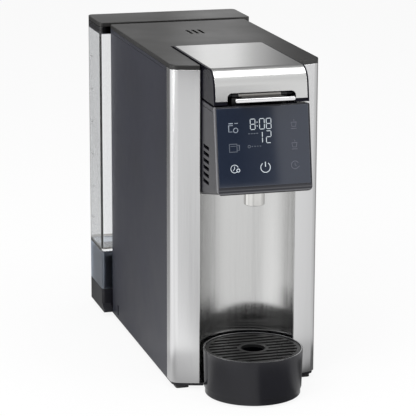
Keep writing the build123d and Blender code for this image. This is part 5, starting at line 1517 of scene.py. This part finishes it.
@dataclass(frozen=True)
class SoftBox:
    """One area lamp, aimed at the machine."""

    name: str
    place: Point3
    size: Point2
    power: float

    def build(self, target: Vector) -> None:
        """Hang the lamp.

        Args:
            target: What it is aimed at.
        """
        lamp = bpy.data.lights.new(self.name, "AREA")
        lamp.shape = "RECTANGLE"
        lamp.size, lamp.size_y = self.size
        lamp.energy = self.power
        hung = place_object(self.name, lamp)
        hung.location = self.place
        hung.rotation_euler = (target - Vector(self.place)).to_track_quat("-Z", "Y").to_euler()


@dataclass(frozen=True)
class PhotoCamera:
    """The photograph's viewpoint, placed in drawing millimetres."""

    place: Point3 = (-571.76, -1859.11, 665.70)
    azimuth: float = 15.93
    elevation: float = 14.05
    roll: float = 0.19
    lens: float = 182.83
    sensor: float = 36.0
    clip: Point2 = (0.05, 60.0)

    def build(self) -> None:
        """Set up the scene's camera."""
        az, el, ro = (math.radians(a) for a in (self.azimuth, self.elevation, self.roll))
        ahead = Vector((math.sin(az) * math.cos(el), math.cos(az) * math.cos(el), -math.sin(el)))
        right = Vector((math.cos(az), -math.sin(az), 0.0))
        up = right.cross(ahead)
        side = right * math.cos(ro) + up * math.sin(ro)
        top = up * math.cos(ro) - right * math.sin(ro)
        data = bpy.data.cameras.new("photo_camera")
        data.lens, data.sensor_width, data.sensor_fit = self.lens, self.sensor, "HORIZONTAL"
        data.clip_start, data.clip_end = self.clip
        camera = place_object("photo_camera", data)
        turn = Matrix((side, top, -ahead)).transposed().to_4x4()
        camera.matrix_world = Matrix.Translation(row_point(*self.place)) @ turn
        bpy.context.scene.camera = camera


@dataclass(frozen=True)
class Card:
    """An upright card that only shows in reflections, in drawing millimetres.

    Its levels and its cover are stops of millimetres across it, and its rise is where its edges fade upwards.
    """

    name: str
    y: float
    across: Point2
    rise: Point2
    fade: float
    levels: Stops
    cover: Stops

    def build(self) -> None:
        """Stand the card up."""
        (x0, x1), (z0, z1) = self.across, self.rise
        corners = [row_point(x, self.y, z) for x, z in ((x0, z0), (x1, z0), (x1, z1), (x0, z1))]
        card, t = studio_sheet(self.name, corners)
        x, _, z = t.parts(t.where())
        lower = t.spread(z, z0 * MM, (z0 + self.fade) * MM)
        upper = t.spread(z, (z1 - self.fade) * MM, z1 * MM, 1.0, 0.0)
        seen = t.math("MULTIPLY", t.ramp(x, self.cover, MM), mirrored(t, t.add("ShaderNodeLightPath").outputs))
        share = t.math("MULTIPLY", t.math("MULTIPLY", lower, upper), seen)
        clear = t.add("ShaderNodeBsdfTransparent").outputs[0]
        lay_glow(t, share, clear, t.ramp(x, self.levels, MM))


@dataclass
class Studio:
    """Pale floor, white surroundings, soft lamps and the camera.

    The levels say how bright the floor and the walls look in a reflection: stops of degrees round the machine, from
    behind over the left, the front and the right, or of degrees over it, from the front to behind. The floor's near
    levels hold only for what stands close over it, within the near ray, and its other levels take over past that.
    """

    floor_half: float = 6.0
    floor_drop: float = 0.0002
    paper_scale: float = 700.0
    paper_shades: Point2 = (0.86, 0.9)
    whiteness: float = 0.88
    ambient: float = 0.55
    near_reach: float = 0.165
    near_ray: float = 0.118
    ray_fade: float = 0.02
    middle_reach: float = 0.2
    far_reach: float = 1.1
    # The near levels paint shade on the floor close to the front and right of the tray, seen only in reflections.
    near_levels: Stops = (
        (-180, 0.3), (-160, 0.36), (-137, 0.6), (-117, 0.75), (-97, 0.5), (-50, 0.75), (-24, 0.8), (-10, 0.7),
        (-3, 0.28), (36, 0.24), (58, 0.24), (68, 0.6), (86, 0.55), (98, 0.12), (180, 0.3))
    middle_levels: Stops = (
        (-180, 0.34), (-160, 0.4), (-148, 0.6), (-130, 1.1), (-100, 1.2), (-80, 1.1), (-64, 1.25), (-44, 1.15),
        (-24, 0.6), (-12, 0.9), (16, 0.87), (36, 0.88), (46, 0.96), (58, 0.97), (76, 0.78), (102, 0.7), (128, 0.2),
        (180, 0.34))
    far_levels: Stops = (
        (-180, 0.1), (-160, 0.13), (-148, 0.48), (-130, 1.15), (-100, 1.25), (-80, 0.85), (-64, 1.0), (-44, 1.03),
        (-24, 0.84), (-12, 0.98), (16, 0.98), (36, 1.0), (50, 1.02), (58, 0.96), (76, 0.75), (102, 0.68), (128, 0.2),
        (180, 0.1))
    over_levels: Stops = (
        (0, 0.95), (10, 0.93), (24, 0.84), (44, 0.82), (54, 0.84), (100, 0.84), (112, 0.72), (126, 0.42), (150, 0.26),
        (166, 0.13), (180, 0.13))
    boxes: tuple[SoftBox, ...] = (
        SoftBox("key_box", (-1.6, -1.5, 1.9), (1.4, 1.4), 26.0),
        SoftBox("top_box", (0.1, -0.3, 1.9), (1.6, 1.2), 14.0),
        SoftBox("left_strip", (-1.5, -0.35, 0.5), (0.35, 1.6), 6.0),
        SoftBox("right_box", (1.5, -1.3, 0.8), (0.9, 1.4), 8.0),
    )
    cards: tuple[Card, ...] = (
        Card("back_card", 600.0, (-500.0, 300.0), (290.0, 560.0), 25.0,
             ((-500, 0.3), (-200, 0.42), (40, 0.53), (72, 0.4), (125, 0.97), (162, 0.96), (186, 0.6), (222, 0.3),
              (252, 0.18), (290, 0.05), (300, 0.05)),
             ((-500, 1.0), (300, 1.0))),
        Card("front_flag", -400.0, (-600.0, 160.0), (240.0, 334.0), 5.0,
             ((-600, 0.0), (80, 0.02), (118, 0.22), (160, 0.3)),
             ((-600, 1.0), (120, 1.0), (129, 0.0), (160, 0.0))),
    )
    target: Point3 = (0.0, -0.05, 0.16)

    def build(self) -> None:
        """Build the whole studio."""
        bpy.context.scene.view_settings.view_transform = "Standard"
        self.lay_floor()
        self.fill_world()
        for box in self.boxes:
            box.build(Vector(self.target))
        for card in self.cards:
            card.build()
        PhotoCamera().build()

    def lay_floor(self) -> None:
        """Lay a pale floor that keeps the machine's shadow and shows white elsewhere."""
        half = self.floor_half
        floor, t = studio_sheet("floor", [Vector((x * half, y * half, -self.floor_drop))
                                          for x, y in ((-1, -1), (1, -1), (1, 1), (-1, 1))])
        where = t.where()
        speck = t.vary(t.noise(where, self.paper_scale, 3.0), *self.paper_shades)
        paper = t.add("ShaderNodeBsdfDiffuse", {"Color": t.mix(speck, (0.0, 0.0, 0.0), WHITE_LIGHT)}).outputs[0]
        path = t.add("ShaderNodeLightPath").outputs
        bounce = mirrored(t, path)
        level = t.mix_level(bounce, 1.0, self.floor_level(t, where, path["Ray Length"]))
        seen = t.math("ADD", t.math("MULTIPLY", straight(t, path), self.whiteness), bounce, clamp=True)
        lay_glow(t, seen, paper, level)

    def floor_level(self, t: Tree, where: Socket, ray: Socket) -> Socket:
        """Find how bright the floor looks in a reflection.

        Args:
            t: The floor's tree.
            where: The place on the floor.
            ray: The length of the ray that meets it.

        Returns:
            The level's socket.
        """
        offset = t.combine("SUBTRACT", where, tuple(row_point(0.0, TRAY_CENTRE_Y, 0.0)))
        across, back, _ = t.parts(offset)
        turn = t.math("MULTIPLY", t.math("ARCTAN2", across, t.math("MULTIPLY", back, -1.0)), DEGREES)
        reach = t.add("ShaderNodeVectorMath", {0: offset}, operation="LENGTH").outputs["Value"]
        beyond = t.spread(ray, self.near_ray, self.near_ray + self.ray_fade)
        past_near = t.math("MAXIMUM", beyond, t.spread(reach, self.near_reach, self.middle_reach))
        past_middle = t.spread(reach, self.middle_reach, self.far_reach)
        shown = t.mix_level(past_near, t.ramp(turn, self.near_levels), t.ramp(turn, self.middle_levels))
        return t.mix_level(past_middle, shown, t.ramp(turn, self.far_levels))

    def fill_world(self) -> None:
        """Surround the machine with white to the eye, and with soft light and shade for its metal."""
        world = bpy.data.worlds.new("studio_world")
        bpy.context.scene.world = world
        world.use_nodes = True
        t = Tree(world.node_tree)
        _, back, up = t.parts(t.add("ShaderNodeTexCoord").outputs["Generated"])
        climb = t.math("MULTIPLY", t.math("ARCTAN2", up, t.math("MULTIPLY", back, -1.0)), DEGREES)
        path = t.add("ShaderNodeLightPath").outputs
        level = t.mix_level(path["Is Glossy Ray"], self.ambient, t.ramp(climb, self.over_levels))
        final = t.mix_level(straight(t, path), level, 1.0)
        sky = t.add("ShaderNodeBackground", {"Color": WHITE_LIGHT, "Strength": final}).outputs[0]
        t.add("ShaderNodeOutputWorld", {"Surface": sky})


def main() -> None:
    """Dress the frame, build the pieces and set up the studio."""
    logging.basicConfig(level=logging.INFO, format="%(name)s: %(message)s")
    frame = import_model()
    paint = Paintbox()
    for assembly in (BodyShell, BrewHead, LidAssembly, WaterTank, DripTray, InnerWorks):
        assembly(paint, frame["nodes"]).build()
        log.info("dressed %s", assembly.__name__)
    Studio().build()


if __name__ == "__main__":
    main()
